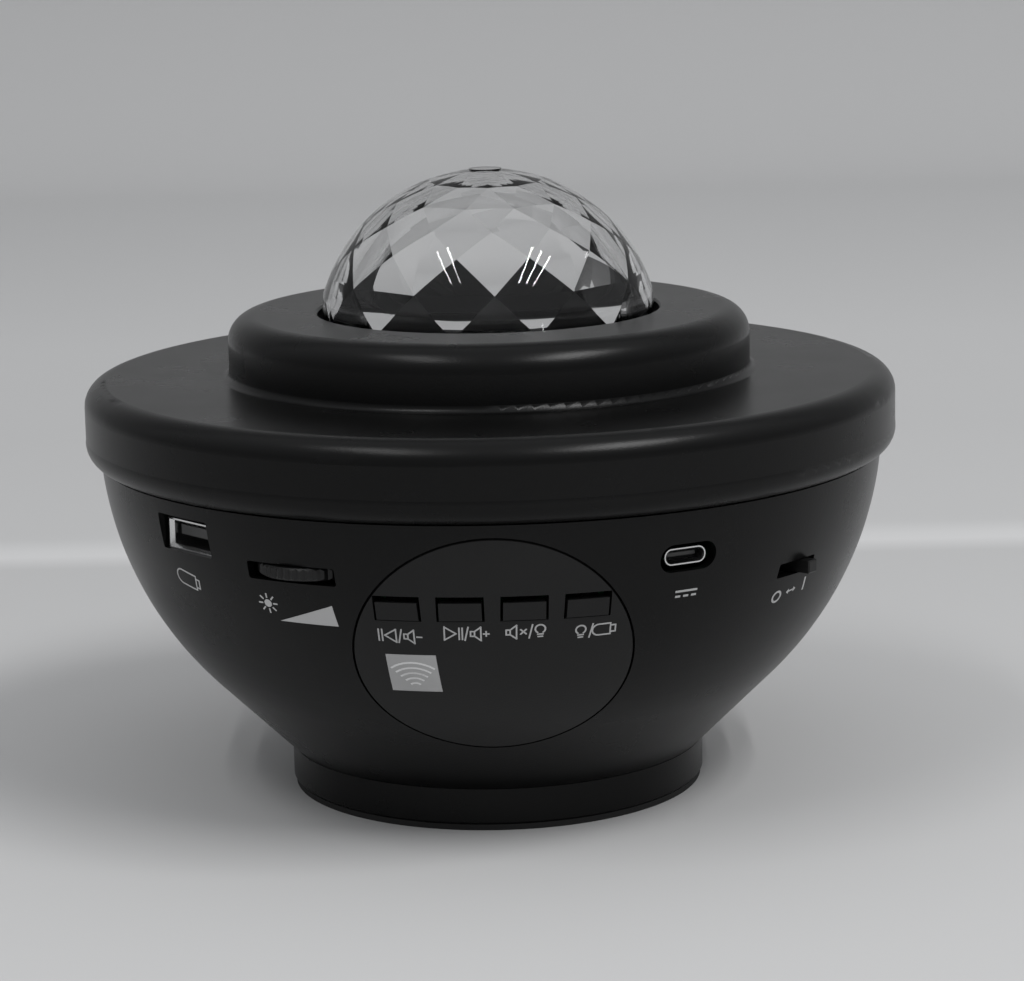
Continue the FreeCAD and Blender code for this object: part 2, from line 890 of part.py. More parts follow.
def lamp_deck():
    plate = cylinder(deck_radius, deck_bottom, deck_top)
    wall_outer = dome_flange_radius - deck_wall_inset
    wall = tube(wall_outer - deck_wall_thickness, wall_outer, deck_bottom, dome_bottom)
    socket_bottom = deck_bottom - laser_socket_depth
    socket_top = deck_top + laser_socket_rise
    socket = cylinder(laser_radius + laser_socket_wall, socket_bottom, socket_top, laser_x, laser_y)
    deck = fused([plate, wall, socket])
    window_radius = lens_radius - lens_window_inset
    deck = deck.cut(cylinder(window_radius, deck_bottom - overrun, deck_top + overrun, lens_x, lens_y))
    deck = deck.cut(cylinder(laser_radius + slip_fit, socket_bottom - overrun, socket_top + overrun,
                             laser_x, laser_y))
    for x, y in spaced(deck_boss_circle, deck_boss_count, deck_boss_azimuth):
        deck = deck.cut(small_hole(deck_bottom - overrun, deck_top + overrun, x, y))
    return deck


def deck_screws():
    places = spaced(deck_boss_circle, deck_boss_count, deck_boss_azimuth)
    return Part.makeCompound([small_screw(small_screw_length, deck_bottom, x, y, True) for x, y in places])


def lens_cap(radius, rise, seat, x, y):
    """Part of a ball that bulges up from a round seat."""
    ball = (radius * radius + rise * rise) / (2 * rise)
    sphere = Part.makeSphere(ball, FreeCAD.Vector(x, y, seat + rise - ball))
    return sphere.common(cylinder(radius, seat, seat + rise + overrun, x, y))


def nebula_lens():
    flange = cylinder(lens_flange_radius, deck_top, lens_flange_top, lens_x, lens_y)
    return flange.fuse(lens_cap(lens_radius, lens_bulge, lens_flange_top, lens_x, lens_y)).removeSplitter()


def lens_ring():
    top = lens_flange_top + lens_ring_lip
    recess_radius = lens_flange_radius + slip_fit
    ring = cylinder(lens_flange_radius + lens_ring_width, deck_top, top, lens_x, lens_y)
    ring = ring.cut(cylinder(recess_radius, deck_top - overrun, lens_flange_top, lens_x, lens_y))
    return ring.cut(cylinder(lens_radius + slip_fit, deck_top, top + overrun, lens_x, lens_y))


def laser_barrel():
    barrel = cylinder(laser_radius, laser_top - laser_length, laser_top, laser_x, laser_y)
    return barrel.cut(cylinder(laser_bore_radius, laser_top - laser_bore_depth, laser_top + overrun,
                               laser_x, laser_y))


def laser_lens():
    seat = laser_top - laser_bore_depth
    return cylinder(laser_bore_radius - slip_fit, seat, seat + laser_lens_thickness, laser_x, laser_y)


def laser_grating():
    return cylinder(laser_radius - grating_inset, laser_top, laser_top + grating_thickness, laser_x, laser_y)


# Frame and drive

def frame_bosses():
    parts = []
    for x, y in spaced(tower_circle, tower_count, tower_azimuth):
        parts.append(cylinder(case_boss_radius, tower_top_height, frame_top, x, y))
    for azimuth in board_post_azimuths:
        x, y = polar(board_post_circle, azimuth)
        parts.append(cylinder(small_boss_radius, board_top, frame_top, x, y))
    reach = cover_boss_circle
    for i in range(cover_boss_count):
        arm = block(-frame_lug_radius, frame_lug_radius, -reach, 0, frame_bottom, frame_top)
        pad = cylinder(frame_lug_radius, frame_bottom, frame_top, 0, -reach)
        parts.append(turned_to(arm.fuse(pad), 360 * i / cover_boss_count))
    parts.append(cylinder(spindle_boss_radius, frame_bottom, spindle_boss_top, disc_x, disc_y))
    return parts


def frame_holes():
    parts = []
    tower_hole_end = tower_top_height - tower_shoulder + case_screw_length + thread_runout
    for x, y in spaced(tower_circle, tower_count, tower_azimuth):
        parts.append(case_hole(tower_top_height - overrun, tower_hole_end, x, y))
    for x, y in spaced(cover_boss_circle, cover_boss_count):
        parts.append(case_hole(frame_bottom - overrun, frame_top + overrun, x, y))
    for azimuth in board_post_azimuths:
        x, y = polar(board_post_circle, azimuth)
        parts.append(small_hole(board_top - overrun, frame_top + overrun, x, y))
    for x, y in led_screw_places() + clamp_screw_places():
        parts.append(small_hole(frame_bottom - overrun, frame_top + overrun, x, y))
    foot = spindle_boss_top - spindle_foot_depth
    parts.append(cylinder(spindle_radius + slip_fit, foot, spindle_boss_top + overrun, disc_x, disc_y))
    return parts


def inner_frame():
    plate = fused([cylinder(frame_radius, frame_bottom, frame_top)] + frame_bosses())
    for hole in frame_holes():
        plate = plate.cut(hole)
    return plate


def gear_outline(teeth, x, y, centre_angle):
    """Involute teeth; one tooth points along the given angle."""
    pitch = gear_module * teeth / 2
    base = pitch * math.cos(math.radians(gear_pressure_angle))
    tip = pitch + gear_addendum_share * gear_module
    root = pitch - gear_dedendum_share * gear_module
    pressure = math.radians(gear_pressure_angle)
    half_pitch = math.pi / (2 * teeth) - gear_backlash / (4 * pitch)
    base_half = half_pitch + math.tan(pressure) - pressure
    flank = []
    steps = 6
    start = max(base, root)
    for i in range(steps + 1):
        radius = start + (tip - start) * i / steps
        roll = math.acos(min(1, base / radius))
        flank.append((radius, base_half - (math.tan(roll) - roll)))
    if root < base:
        flank.insert(0, (root, flank[0][1]))
    points = []
    for tooth in range(teeth):
        middle = math.radians(centre_angle) + 2 * math.pi * tooth / teeth
        for radius, half in flank:
            points.append((radius, middle - half))
        for radius, half in reversed(flank):
            points.append((radius, middle + half))
    return [FreeCAD.Vector(x + r * math.cos(a), y + r * math.sin(a), 0) for r, a in points]


def gear(teeth, x, y, centre_angle, bottom, top):
    points = gear_outline(teeth, x, y, centre_angle)
    face = Part.Face(Part.makePolygon(points + points[:1]))
    face.translate(FreeCAD.Vector(0, 0, bottom))
    return face.extrude(FreeCAD.Vector(0, 0, top - bottom))


def disc_ripple(angle):
    """Shallow round groove across the top of the wave disc."""
    inner = hub_radius + ripple_radius
    outer = disc_pitch_radius - disc_rim_width
    start = FreeCAD.Vector(disc_x + inner, disc_y, disc_top - ripple_depth + ripple_radius)
    groove = Part.makeCylinder(ripple_radius, outer - inner, start, FreeCAD.Vector(1, 0, 0))
    groove.rotate(FreeCAD.Vector(disc_x, disc_y, 0), FreeCAD.Vector(0, 0, 1), angle)
    return groove


def wave_disc():
    half_tooth = 180 / disc_teeth
    disc = gear(disc_teeth, disc_x, disc_y, drive_angle + half_tooth, disc_bottom, disc_top)
    disc = fused([disc, cylinder(hub_radius, hub_bottom, hub_top, disc_x, disc_y)])
    grooves = [disc_ripple(360 * i / disc_ripples) for i in range(disc_ripples)]
    disc = disc.cut(Part.makeCompound(grooves))
    return disc.cut(cylinder(spindle_radius + running_fit, hub_bottom - overrun, hub_top + overrun,
                             disc_x, disc_y))


def disc_spindle():
    foot = spindle_boss_top - spindle_foot_depth
    return cylinder(spindle_radius, foot, hub_top + spindle_overhang, disc_x, disc_y)


def spindle_clip():
    bottom = hub_top + slip_fit
    top = bottom + clip_thickness
    outer = spindle_radius + clip_width
    ring = tube(spindle_radius + slip_fit, outer, bottom, top, disc_x, disc_y)
    half = clip_mouth / 2
    mouth = block(disc_x, disc_x + 2 * outer, disc_y - half, disc_y + half, bottom - overrun, top + overrun)
    return ring.cut(mouth)


def motor_can():
    can = cylinder(motor_radius, frame_top, motor_top, pinion_x, pinion_y)
    nose = cylinder(motor_nose_radius, motor_top - overrun, motor_top + motor_nose_height, pinion_x, pinion_y)
    bore = cylinder(shaft_radius + running_fit, motor_top - shaft_tail - edge_gap,
                    motor_top + motor_nose_height + overrun, pinion_x, pinion_y)
    return fused([can, nose]).cut(bore)


def motor_shaft():
    return cylinder(shaft_radius, motor_top - shaft_tail, pinion_top, pinion_x, pinion_y)


def motor_pinion():
    wheel = gear(pinion_teeth, pinion_x, pinion_y, drive_angle + 180, pinion_bottom, pinion_top)
    return wheel.cut(cylinder(shaft_radius + slip_fit, pinion_bottom - overrun, pinion_top + overrun,
                              pinion_x, pinion_y))


def clamp_screw_places():
    return [(pinion_x - clamp_ear_reach, pinion_y), (pinion_x + clamp_ear_reach, pinion_y)]


def motor_clamp():
    ear_top = frame_top + clamp_ear_thickness
    clamp_top = frame_top + clamp_height
    places = clamp_screw_places()
    ring = cylinder(motor_radius + clamp_wall, frame_top, clamp_top, pinion_x, pinion_y)
    ears = block(pinion_x - clamp_ear_reach, pinion_x + clamp_ear_reach, pinion_y - clamp_ear_radius,
                 pinion_y + clamp_ear_radius, frame_top, ear_top)
    pads = [cylinder(clamp_ear_radius, frame_top, ear_top, x, y) for x, y in places]
    clamp = fused([ring, ears] + pads)
    clamp = clamp.cut(cylinder(motor_radius + slip_fit, frame_top - overrun, clamp_top + overrun,
                               pinion_x, pinion_y))
    for x, y in places:
        clamp = clamp.cut(small_hole(frame_top - overrun, ear_top + overrun, x, y))
    return clamp


def motor_screws():
    seat = frame_top + clamp_ear_thickness
    length = clamp_ear_thickness + frame_thickness
    return Part.makeCompound([small_screw(length, seat, x, y, False) for x, y in clamp_screw_places()])


# Light source

def led_screw_places():
    return [(lens_x - led_screw_offset, lens_y - led_screw_offset),
            (lens_x + led_screw_offset, lens_y + led_screw_offset)]


def sink_block():
    half = sink_side / 2
    return block(lens_x - half, lens_x + half, lens_y - half, lens_y + half, frame_top, sink_top)


def sink_posts():
    """Solid corners of the heat sink, which hold the lamp board's screws."""
    half = small_boss_radius
    posts = [block(x - half, x + half, y - half, y + half, frame_top, sink_top) for x, y in led_screw_places()]
    return fused(posts)


def heat_sink():
    sink = sink_block()
    posts = sink_posts()
    fin_pitch = (sink_side - sink_fin_wall) / (sink_fins - 1)
    first = lens_x - sink_side / 2 + sink_fin_wall
    for i in range(sink_fins - 1):
        start = first + i * fin_pitch
        slot = block(start, start + fin_pitch - sink_fin_wall, lens_y - sink_side, lens_y + sink_side,
                     frame_top - overrun, sink_top - sink_base)
        sink = sink.cut(slot.cut(posts))
    for x, y in led_screw_places():
        sink = sink.cut(small_hole(frame_top - overrun, sink_top + overrun, x, y))
    return sink


def led_board():
    half = sink_side / 2
    board = block(lens_x - half, lens_x + half, lens_y - half, lens_y + half, sink_top, led_board_top)
    for x, y in led_screw_places():
        board = board.cut(small_hole(sink_top - overrun, led_board_top + overrun, x, y))
    return board


def led_chip(side_x, side_y):
    x = lens_x + side_x * led_pitch / 2
    y = lens_y + side_y * led_pitch / 2
    half = led_side / 2
    return block(x - half, x + half, y - half, y + half, led_board_top, led_board_top + led_height)


def led_chips():
    sides = [(-1, -1), (1, -1), (-1, 1), (1, 1)]
    return Part.makeCompound([led_chip(side_x, side_y) for side_x, side_y in sides])


def led_screws():
    places = led_screw_places()
    return Part.makeCompound([small_screw(led_screw_length, led_board_top, x, y, False) for x, y in places])


def lens_holder():
    top = led_board_top + holder_height
    seat = led_board_top + holder_seat_height
    inner = collimator_radius - holder_ledge
    ring = tube(inner, collimator_radius + holder_wall, led_board_top, top, lens_x, lens_y)
    return ring.cut(cylinder(collimator_radius + slip_fit, seat, top + overrun, lens_x, lens_y))


def collimator_lens():
    seat = led_board_top + holder_seat_height
    top = led_board_top + holder_height
    slab = cylinder(collimator_radius, seat, top, lens_x, lens_y)
    return slab.fuse(lens_cap(collimator_radius, collimator_bulge, top, lens_x, lens_y)).removeSplitter()


# Main board

def board_outer_radius():
    return bowl_radius_at(board_bottom, bowl_wall) - board_edge_gap


def main_board():
    reach = body_radius
    low, high = board_bottom - overrun, board_top + overrun
    board = tube(board_inner_radius, board_outer_radius(), board_bottom, board_top)
    board = board.common(block(-reach, reach, -reach, board_back_y, low, high))
    half = board_notch_width / 2
    board = board.cut(block(-half, half, -reach, board_notch_y, low, high))
    dial_x, dial_y = polar(dial_centre_radius(), dial_azimuth)
    board = board.cut(cylinder(dial_radius + dial_board_gap, low, high, dial_x, dial_y))
    gap = usb_c_width / 2 + slip_fit
    rear = usb_c_front_radius() - usb_c_length - slip_fit
    board = board.cut(turned_to(block(-gap, gap, -reach, -rear, low, high), usb_c_azimuth))
    for azimuth in board_post_azimuths:
        x, y = polar(board_post_circle, azimuth)
        board = board.cut(small_hole(low, high, x, y))
    return board


def flat_chip(x, y, length, width, height):
    return block(x - length / 2, x + length / 2, y - width / 2, y + width / 2, board_top, board_top + height)


def board_chips():
    chip = flat_chip(chip_x, chip_y, chip_side, chip_side, chip_height)
    amp = flat_chip(amp_x, amp_y, amp_length, amp_width, amp_height)
    return Part.makeCompound([chip, amp])


def capacitors():
    low = board_bottom - capacitor_height
    places = [capacitor_x + i * capacitor_pitch for i in range(capacitor_count)]
    return Part.makeCompound([cylinder(capacitor_radius, low, board_bottom, x, capacitor_y) for x in places])


def board_screws():
    places = [polar(board_post_circle, azimuth) for azimuth in board_post_azimuths]
    return Part.makeCompound([small_screw(small_screw_length, board_bottom, x, y, True) for x, y in places])


def usb_a_front_radius():
    return bowl_radius_at(usb_a_opening_centre, 0) - usb_a_recess


def usb_a_shell():
    top = board_top + usb_a_height
    half = usb_a_width / 2
    front = -usb_a_front_radius()
    back = front + usb_a_length
    wall = usb_a_sheet
    shell = block(-half, half, front, back, board_top, top)
    room = block(-half + wall, half - wall, front - overrun, back - wall, board_top + wall, top - wall)
    shell = shell.cut(room)
    lip = lip_wedge(0).cut(lip_wedge(wall))
    return turned_to(fused([shell, lip]), usb_a_azimuth)


def lip_ring(y, grow):
    x = usb_a_width / 2 + grow
    low = board_top - grow
    high = board_top + usb_a_height + grow
    corners = [FreeCAD.Vector(-x, y, low), FreeCAD.Vector(x, y, low)]
    corners += [FreeCAD.Vector(x, y, high), FreeCAD.Vector(-x, y, high)]
    return Part.makePolygon(corners + corners[:1])


def lip_wedge(inset):
    """Mouth of the socket, flared out towards the front."""
    front = -usb_a_front_radius()
    rings = [lip_ring(front, -inset), lip_ring(front - usb_a_lip_length, usb_a_lip - inset)]
    return Part.makeLoft(rings, True, True)


def usb_a_tongue():
    top = board_top + usb_a_height - usb_a_sheet - usb_a_tongue_drop
    low = top - usb_a_tongue_thickness
    half = usb_a_width / 2 - usb_a_tongue_inset
    back = -usb_a_front_radius() + usb_a_length - usb_a_sheet
    block_front = back - usb_a_block_length
    inner_half = usb_a_width / 2 - usb_a_sheet - slip_fit
    block_low = board_top + usb_a_sheet
    block_high = board_top + usb_a_height - usb_a_sheet
    tongue = block(-half, half, block_front - usb_a_tongue_length, block_front + overrun, low, top)
    rear = block(-inner_half, inner_half, block_front, back, block_low, block_high)
    return turned_to(fused([tongue, rear]), usb_a_azimuth)


def oval_bar(width, height, y0, y1):
    return rounded_bar(width, height, height / 2 - slip_fit / 2, y0, y1, usb_c_centre)


def usb_c_front_radius():
    return bowl_radius_at(usb_c_centre, 0) - usb_c_recess


def usb_c_shell():
    front = -usb_c_front_radius()
    back = front + usb_c_length
    shell = oval_bar(usb_c_width, usb_c_height, front, back)
    hollow = oval_bar(usb_c_width - 2 * usb_c_sheet, usb_c_height - 2 * usb_c_sheet, front - overrun, back)
    return turned_to(shell.cut(hollow), usb_c_azimuth)


def usb_c_tongue():
    back = -usb_c_front_radius() + usb_c_length
    block_front = back - usb_c_block_length
    half = usb_c_width / 2 - usb_c_tongue_inset
    low = usb_c_centre - usb_c_tongue_thickness / 2
    high = low + usb_c_tongue_thickness
    tongue = block(-half, half, block_front - usb_c_tongue_length, block_front + usb_c_sheet, low, high)
    inset = 2 * usb_c_sheet + 2 * slip_fit
    rear = oval_bar(usb_c_width - inset, usb_c_height - inset, block_front, back)
    return turned_to(fused([tongue, rear]), usb_c_azimuth)


# Dial and switch

def dial_centre_radius():
    return bowl_radius_at(dial_centre, 0) + dial_proud - dial_radius


def ribbed_wheel(centre):
    points = []
    count = 2 * dial_ribs
    for i in range(count):
        radius = dial_radius - (i % 2) * dial_rib_depth
        angle = 2 * math.pi * i / count
        x, y = radius * math.sin(angle), -centre - radius * math.cos(angle)
        points.append(FreeCAD.Vector(x, y, dial_bottom))
    face = Part.Face(Part.makePolygon(points + points[:1]))
    return face.extrude(FreeCAD.Vector(0, 0, dial_thickness))


def brightness_dial():
    centre = dial_centre_radius()
    barrel = cylinder(dial_radius + slip_fit, dial_bottom, dial_top, 0, -centre)
    barrel = barrel.makeChamfer(dial_edge, [e for e in barrel.Edges if e.BoundBox.ZLength < slip_fit])
    wheel = ribbed_wheel(centre).common(barrel)
    shaft = cylinder(dial_shaft_radius, dial_bottom - dial_shaft_length, dial_bottom + slip_fit, 0, -centre)
    wheel = fused([wheel, shaft])
    hole_end = dial_top - dial_screw_length - slip_fit
    hole = cylinder(dial_screw_radius + slip_fit, hole_end, dial_top + overrun, 0, -centre)
    return turned_to(wheel.cut(hole), dial_azimuth)


def dial_screw():
    x, y = polar(dial_centre_radius(), dial_azimuth)
    return screw(dial_screw_radius, dial_screw_length, dial_screw_head_radius, dial_screw_head_height,
                 dial_top, x, y, False)


def dial_potentiometer():
    centre = dial_centre_radius()
    top = dial_bottom - pot_gap
    low = top - pot_height
    half = pot_arm_width / 2
    pad_start = dial_radius + dial_board_gap + pot_pad_gap - centre
    pad_end = pad_start + pot_pad_length
    body = cylinder(pot_radius, low, top, 0, -centre)
    arm = block(-half, half, -centre, pad_end, low, top)
    pad = block(-half, half, pad_start, pad_end, low, board_bottom)
    body = fused([body, arm, pad])
    floor = dial_bottom - dial_shaft_length - pot_rotor_floor
    bore = cylinder(dial_shaft_radius + running_fit, floor, top + overrun, 0, -centre)
    return turned_to(body.cut(bore), dial_azimuth)


def switch_front_radius():
    return bowl_radius_at(board_bottom - switch_body_height, bowl_wall) - switch_wall_gap


def power_switch():
    half = switch_body_width / 2
    tall = switch_slot_height / 2
    front = -switch_front_radius()
    low = board_bottom - switch_body_height
    body = block(-half, half, front, front + switch_body_depth, low, board_bottom)
    room = (switch_travel + knob_width) / 2 + switch_root_gap
    cavity = block(-room, room, front - overrun, front + switch_cavity_depth,
                   switch_slot_centre - tall, switch_slot_centre + tall)
    return turned_to(body.cut(cavity), switch_azimuth)


def switch_knob():
    outer = -bowl_radius_at(switch_slot_centre, 0) - knob_proud
    inner = -switch_front_radius() + switch_cavity_depth - switch_root_gap
    middle = switch_travel / 2
    half = knob_width / 2
    tall = knob_height / 2
    low = switch_slot_centre - tall
    knob = block(middle - half, middle + half, outer, inner, low, low + knob_height)
    knob = knob.makeChamfer(knob_edge, [e for e in knob.Edges if e.BoundBox.YMax < outer + knob_edge])
    return turned_to(knob, switch_azimuth)


# Control panel

def panel_place(radius, azimuth, height):
    """Sideways, outward and upward place measured square to the control panel."""
    x, y = polar(radius, azimuth)
    tilt = math.radians(panel_tilt)
    out = -y * math.cos(tilt) - height * math.sin(tilt)
    up = -y * math.sin(tilt) + height * math.cos(tilt)
    return x, out, up


def key_post_place(azimuth):
    return panel_place(bowl_radius_at(key_post_height, panel_wall / 2), azimuth, key_post_height)


def key_board_front():
    """How far out the key board's front lies, under the posts of the outer keys."""
    return key_post_place(key_azimuths[0])[1] - key_board_depth


def key_axis_radius():
    return bowl_radius_at(key_bottom_height, 0) - key_knuckle_depth


def key_slot():
    half = key_width / 2 + key_slit
    top = key_bottom_height + key_length + key_top_gap
    slot = block(-half, half, -body_radius, -board_inner_radius, key_bottom_height, top)
    start = FreeCAD.Vector(-half, -key_axis_radius(), key_bottom_height)
    groove = Part.makeCylinder(key_knuckle_radius + running_fit, 2 * half, start, FreeCAD.Vector(1, 0, 0))
    return slot.fuse(groove)


def panel_boss_places():
    """Two bosses between the outer keys, two low down."""
    posts = [key_post_place(azimuth) for azimuth in key_azimuths]
    places = []
    for a, b in ((posts[0], posts[1]), (posts[-2], posts[-1])):
        places.append(((a[0] + b[0]) / 2, (a[2] + b[2]) / 2))
    return places + [(-panel_boss_lower_x, panel_boss_lower), (panel_boss_lower_x, panel_boss_lower)]


def panel_bosses(radius, start):
    parts = []
    for x, z in panel_boss_places():
        base = FreeCAD.Vector(x, -start, z)
        parts.append(Part.makeCylinder(radius, body_radius / 2, base, FreeCAD.Vector(0, -1, 0)))
    return tilted(Part.makeCompound(parts))


def window_box(width, height):
    """Bar through the panel where the remote's window sits."""
    low = window_centre - height / 2
    box = block(-width / 2, width / 2, -body_radius, -board_inner_radius, low, low + height)
    return turned_to(box, window_azimuth)


def panel_rim():
    """Thicker edge behind the wall, and the flange that holds it in the bowl."""
    back = panel_wall + panel_flange_gap + panel_rim_depth
    inner = panel_radius - panel_rim_width
    edge = wall_layer(panel_wall - panel_flange_gap, back)
    edge = edge.common(panel_plug(panel_radius).cut(panel_plug(inner)))
    flange = wall_layer(panel_wall + panel_flange_gap, back)
    ring = panel_plug(panel_radius + panel_flange_reach).cut(panel_plug(panel_radius - panel_rim_width / 2))
    return [edge, flange.common(ring)]


def control_panel():
    disc = wall_layer(0, panel_wall).common(panel_plug(panel_radius))
    bosses = panel_bosses(panel_boss_radius, key_board_front()).common(bowl_solid(panel_wall / 2))
    panel = fused([disc] + panel_rim() + bosses.Solids)
    holes = panel_bosses(small_screw_radius + slip_fit, key_board_front() - overrun)
    panel = panel.cut(holes.common(bowl_solid(panel_wall - panel_flange_gap)))
    for azimuth in key_azimuths:
        panel = panel.cut(turned_to(key_slot(), azimuth))
    pocket = window_box(window_width + 2 * slip_fit, window_height + 2 * slip_fit)
    panel = panel.cut(wall_layer(0, window_depth).common(pocket))
    return panel.cut(window_box(window_hole, window_hole))


def key(azimuth):
    half = key_width / 2
    low = key_bottom_height + key_hinge_gap
    high = key_bottom_height + key_length
    plate = wall_layer(-key_proud, panel_wall)
    plate = plate.common(block(-half, half, -body_radius, -board_inner_radius, low, high))
    start = FreeCAD.Vector(-half, -key_axis_radius(), key_bottom_height)
    knuckle = Part.makeCylinder(key_knuckle_radius, key_width, start, FreeCAD.Vector(1, 0, 0))
    body = turned_to(fused([plate, knuckle]), azimuth)
    x, out, up = key_post_place(azimuth)
    tip = key_board_front() + tact_height + plunger_rise + key_post_gap
    start = FreeCAD.Vector(x, -tip, up)
    post = Part.makeCylinder(key_post_radius, out - tip, start, FreeCAD.Vector(0, -1, 0))
    return fused([body, tilted(post)])


def ir_window():
    return wall_layer(0, window_depth).common(window_box(window_width, window_height))


def key_board():
    x, out, high = key_post_place(key_azimuths[1])
    half = key_post_place(key_azimuths[-1])[0] + key_board_margin
    low = panel_boss_lower - key_board_margin
    back = -key_board_front() + key_board_thickness
    board = block(-half, half, -key_board_front(), back, low, high + key_board_margin)
    length = key_board_thickness + 2 * overrun
    radius = small_screw_radius + slip_fit
    for x, z in panel_boss_places():
        start = FreeCAD.Vector(x, -key_board_front() - overrun, z)
        board = board.cut(Part.makeCylinder(radius, length, start, FreeCAD.Vector(0, 1, 0)))
    return tilted(board)


def panel_screws():
    parts = []
    seat = key_board_front() - key_board_thickness
    for x, z in panel_boss_places():
        piece = small_screw(small_screw_length, 0, 0, 0, True)
        piece.rotate(FreeCAD.Vector(0, 0, 0), FreeCAD.Vector(1, 0, 0), 90)
        piece.translate(FreeCAD.Vector(x, -seat, z))
        parts.append(tilted(piece))
    return Part.makeCompound(parts)


def tact_switch(azimuth):
    half = tact_side / 2
    x, out, up = key_post_place(azimuth)
    front = -key_board_front() - tact_height
    body = block(x - half, x + half, front, -key_board_front(), up - half, up + half)
    start = FreeCAD.Vector(x, front - overrun, up)
    depth = overrun + plunger_root + plunger_room
    bore = Part.makeCylinder(plunger_radius + running_fit, depth, start, FreeCAD.Vector(0, 1, 0))
    return tilted(body.cut(bore))


def tact_switches():
    return Part.makeCompound([tact_switch(azimuth) for azimuth in key_azimuths])


def plunger(azimuth):
    x, out, up = key_post_place(azimuth)
    start = FreeCAD.Vector(x, -key_board_front() - tact_height - plunger_rise, up)
    pin = Part.makeCylinder(plunger_radius, plunger_rise + plunger_root, start, FreeCAD.Vector(0, 1, 0))
    return tilted(pin)


def ir_receiver():
    half = receiver_width / 2
    tall = receiver_length / 2
    x, out, up = panel_place(bowl_radius_at(window_centre, 0), window_azimuth, window_centre)
    front = -key_board_front() - receiver_depth
    body = block(x - half, x + half, front, -key_board_front(), up - tall, up + tall)
    bulge = Part.makeSphere(receiver_bulge_radius, FreeCAD.Vector(x, front, up))
    return tilted(body.fuse(bulge).removeSplitter())


# Loudspeaker

def basket_outline():
    low = bowl_floor_top
    flange = speaker_flange_top
    step = flange + basket_step
    back = flange + basket_depth
    rim_outer = speaker_rim_radius + basket_wall
    back_outer = basket_back_radius + basket_wall
    lip = speaker_opening_radius - basket_wall
    return [
        (lip, low),
        (speaker_flange_radius, low),
        (speaker_flange_radius, flange),
        (rim_outer, flange),
        (rim_outer, step),
        (back_outer, back - basket_wall),
        (back_outer, back),
        (pole_bore_radius, back),
        (pole_bore_radius, back - basket_wall),
        (basket_back_radius, back - basket_wall),
        (speaker_rim_radius, step),
        (speaker_rim_radius, flange),
        (lip, flange),
    ]


def speaker_frame():
    frame = spun(outline(basket_outline()))
    half = basket_window_width / 2
    low = speaker_flange_top + basket_step + basket_wall
    high = speaker_flange_top + basket_depth - 2 * basket_wall
    for i in range(speaker_screw_count):
        window = block(-half, half, -speaker_flange_radius, -basket_back_radius - 2 * basket_wall, low, high)
        frame = frame.cut(turned_to(window, 360 * i / speaker_screw_count))
    for x, y in spaced(speaker_screw_circle, speaker_screw_count, tower_azimuth):
        frame = frame.cut(small_hole(bowl_floor_top - overrun, speaker_flange_top + overrun, x, y))
    return frame


def speaker_cone():
    rim = speaker_flange_top
    neck = rim + cone_depth
    wall = cone_thickness
    rim_radius = speaker_rim_radius - cone_rim_gap
    roll = rim_radius - cone_roll_width
    points = [
        (rim_radius, rim),
        (rim_radius, rim + wall),
        (roll, rim + wall),
        (voice_coil_radius, neck + wall),
        (voice_coil_radius, neck + wall + dust_cap_height),
        (voice_coil_radius - wall, neck + wall + dust_cap_height),
        (voice_coil_radius - wall, neck - dust_cap_height / 2 + wall),
        (0, neck - dust_cap_height + wall),
        (0, neck - dust_cap_height),
        (voice_coil_radius, neck - dust_cap_height / 2),
        (roll, rim),
    ]
    return spun(outline(points))


def speaker_magnet():
    bottom = speaker_flange_top + basket_depth
    top = bottom + magnet_thickness
    return tube(magnet_bore_radius, magnet_radius, bottom, top)


def speaker_screws():
    length = speaker_flange_thickness + bowl_floor
    places = spaced(speaker_screw_circle, speaker_screw_count, tower_azimuth)
    return Part.makeCompound([small_screw(length, speaker_flange_top, x, y, False) for x, y in places])


# All pieces

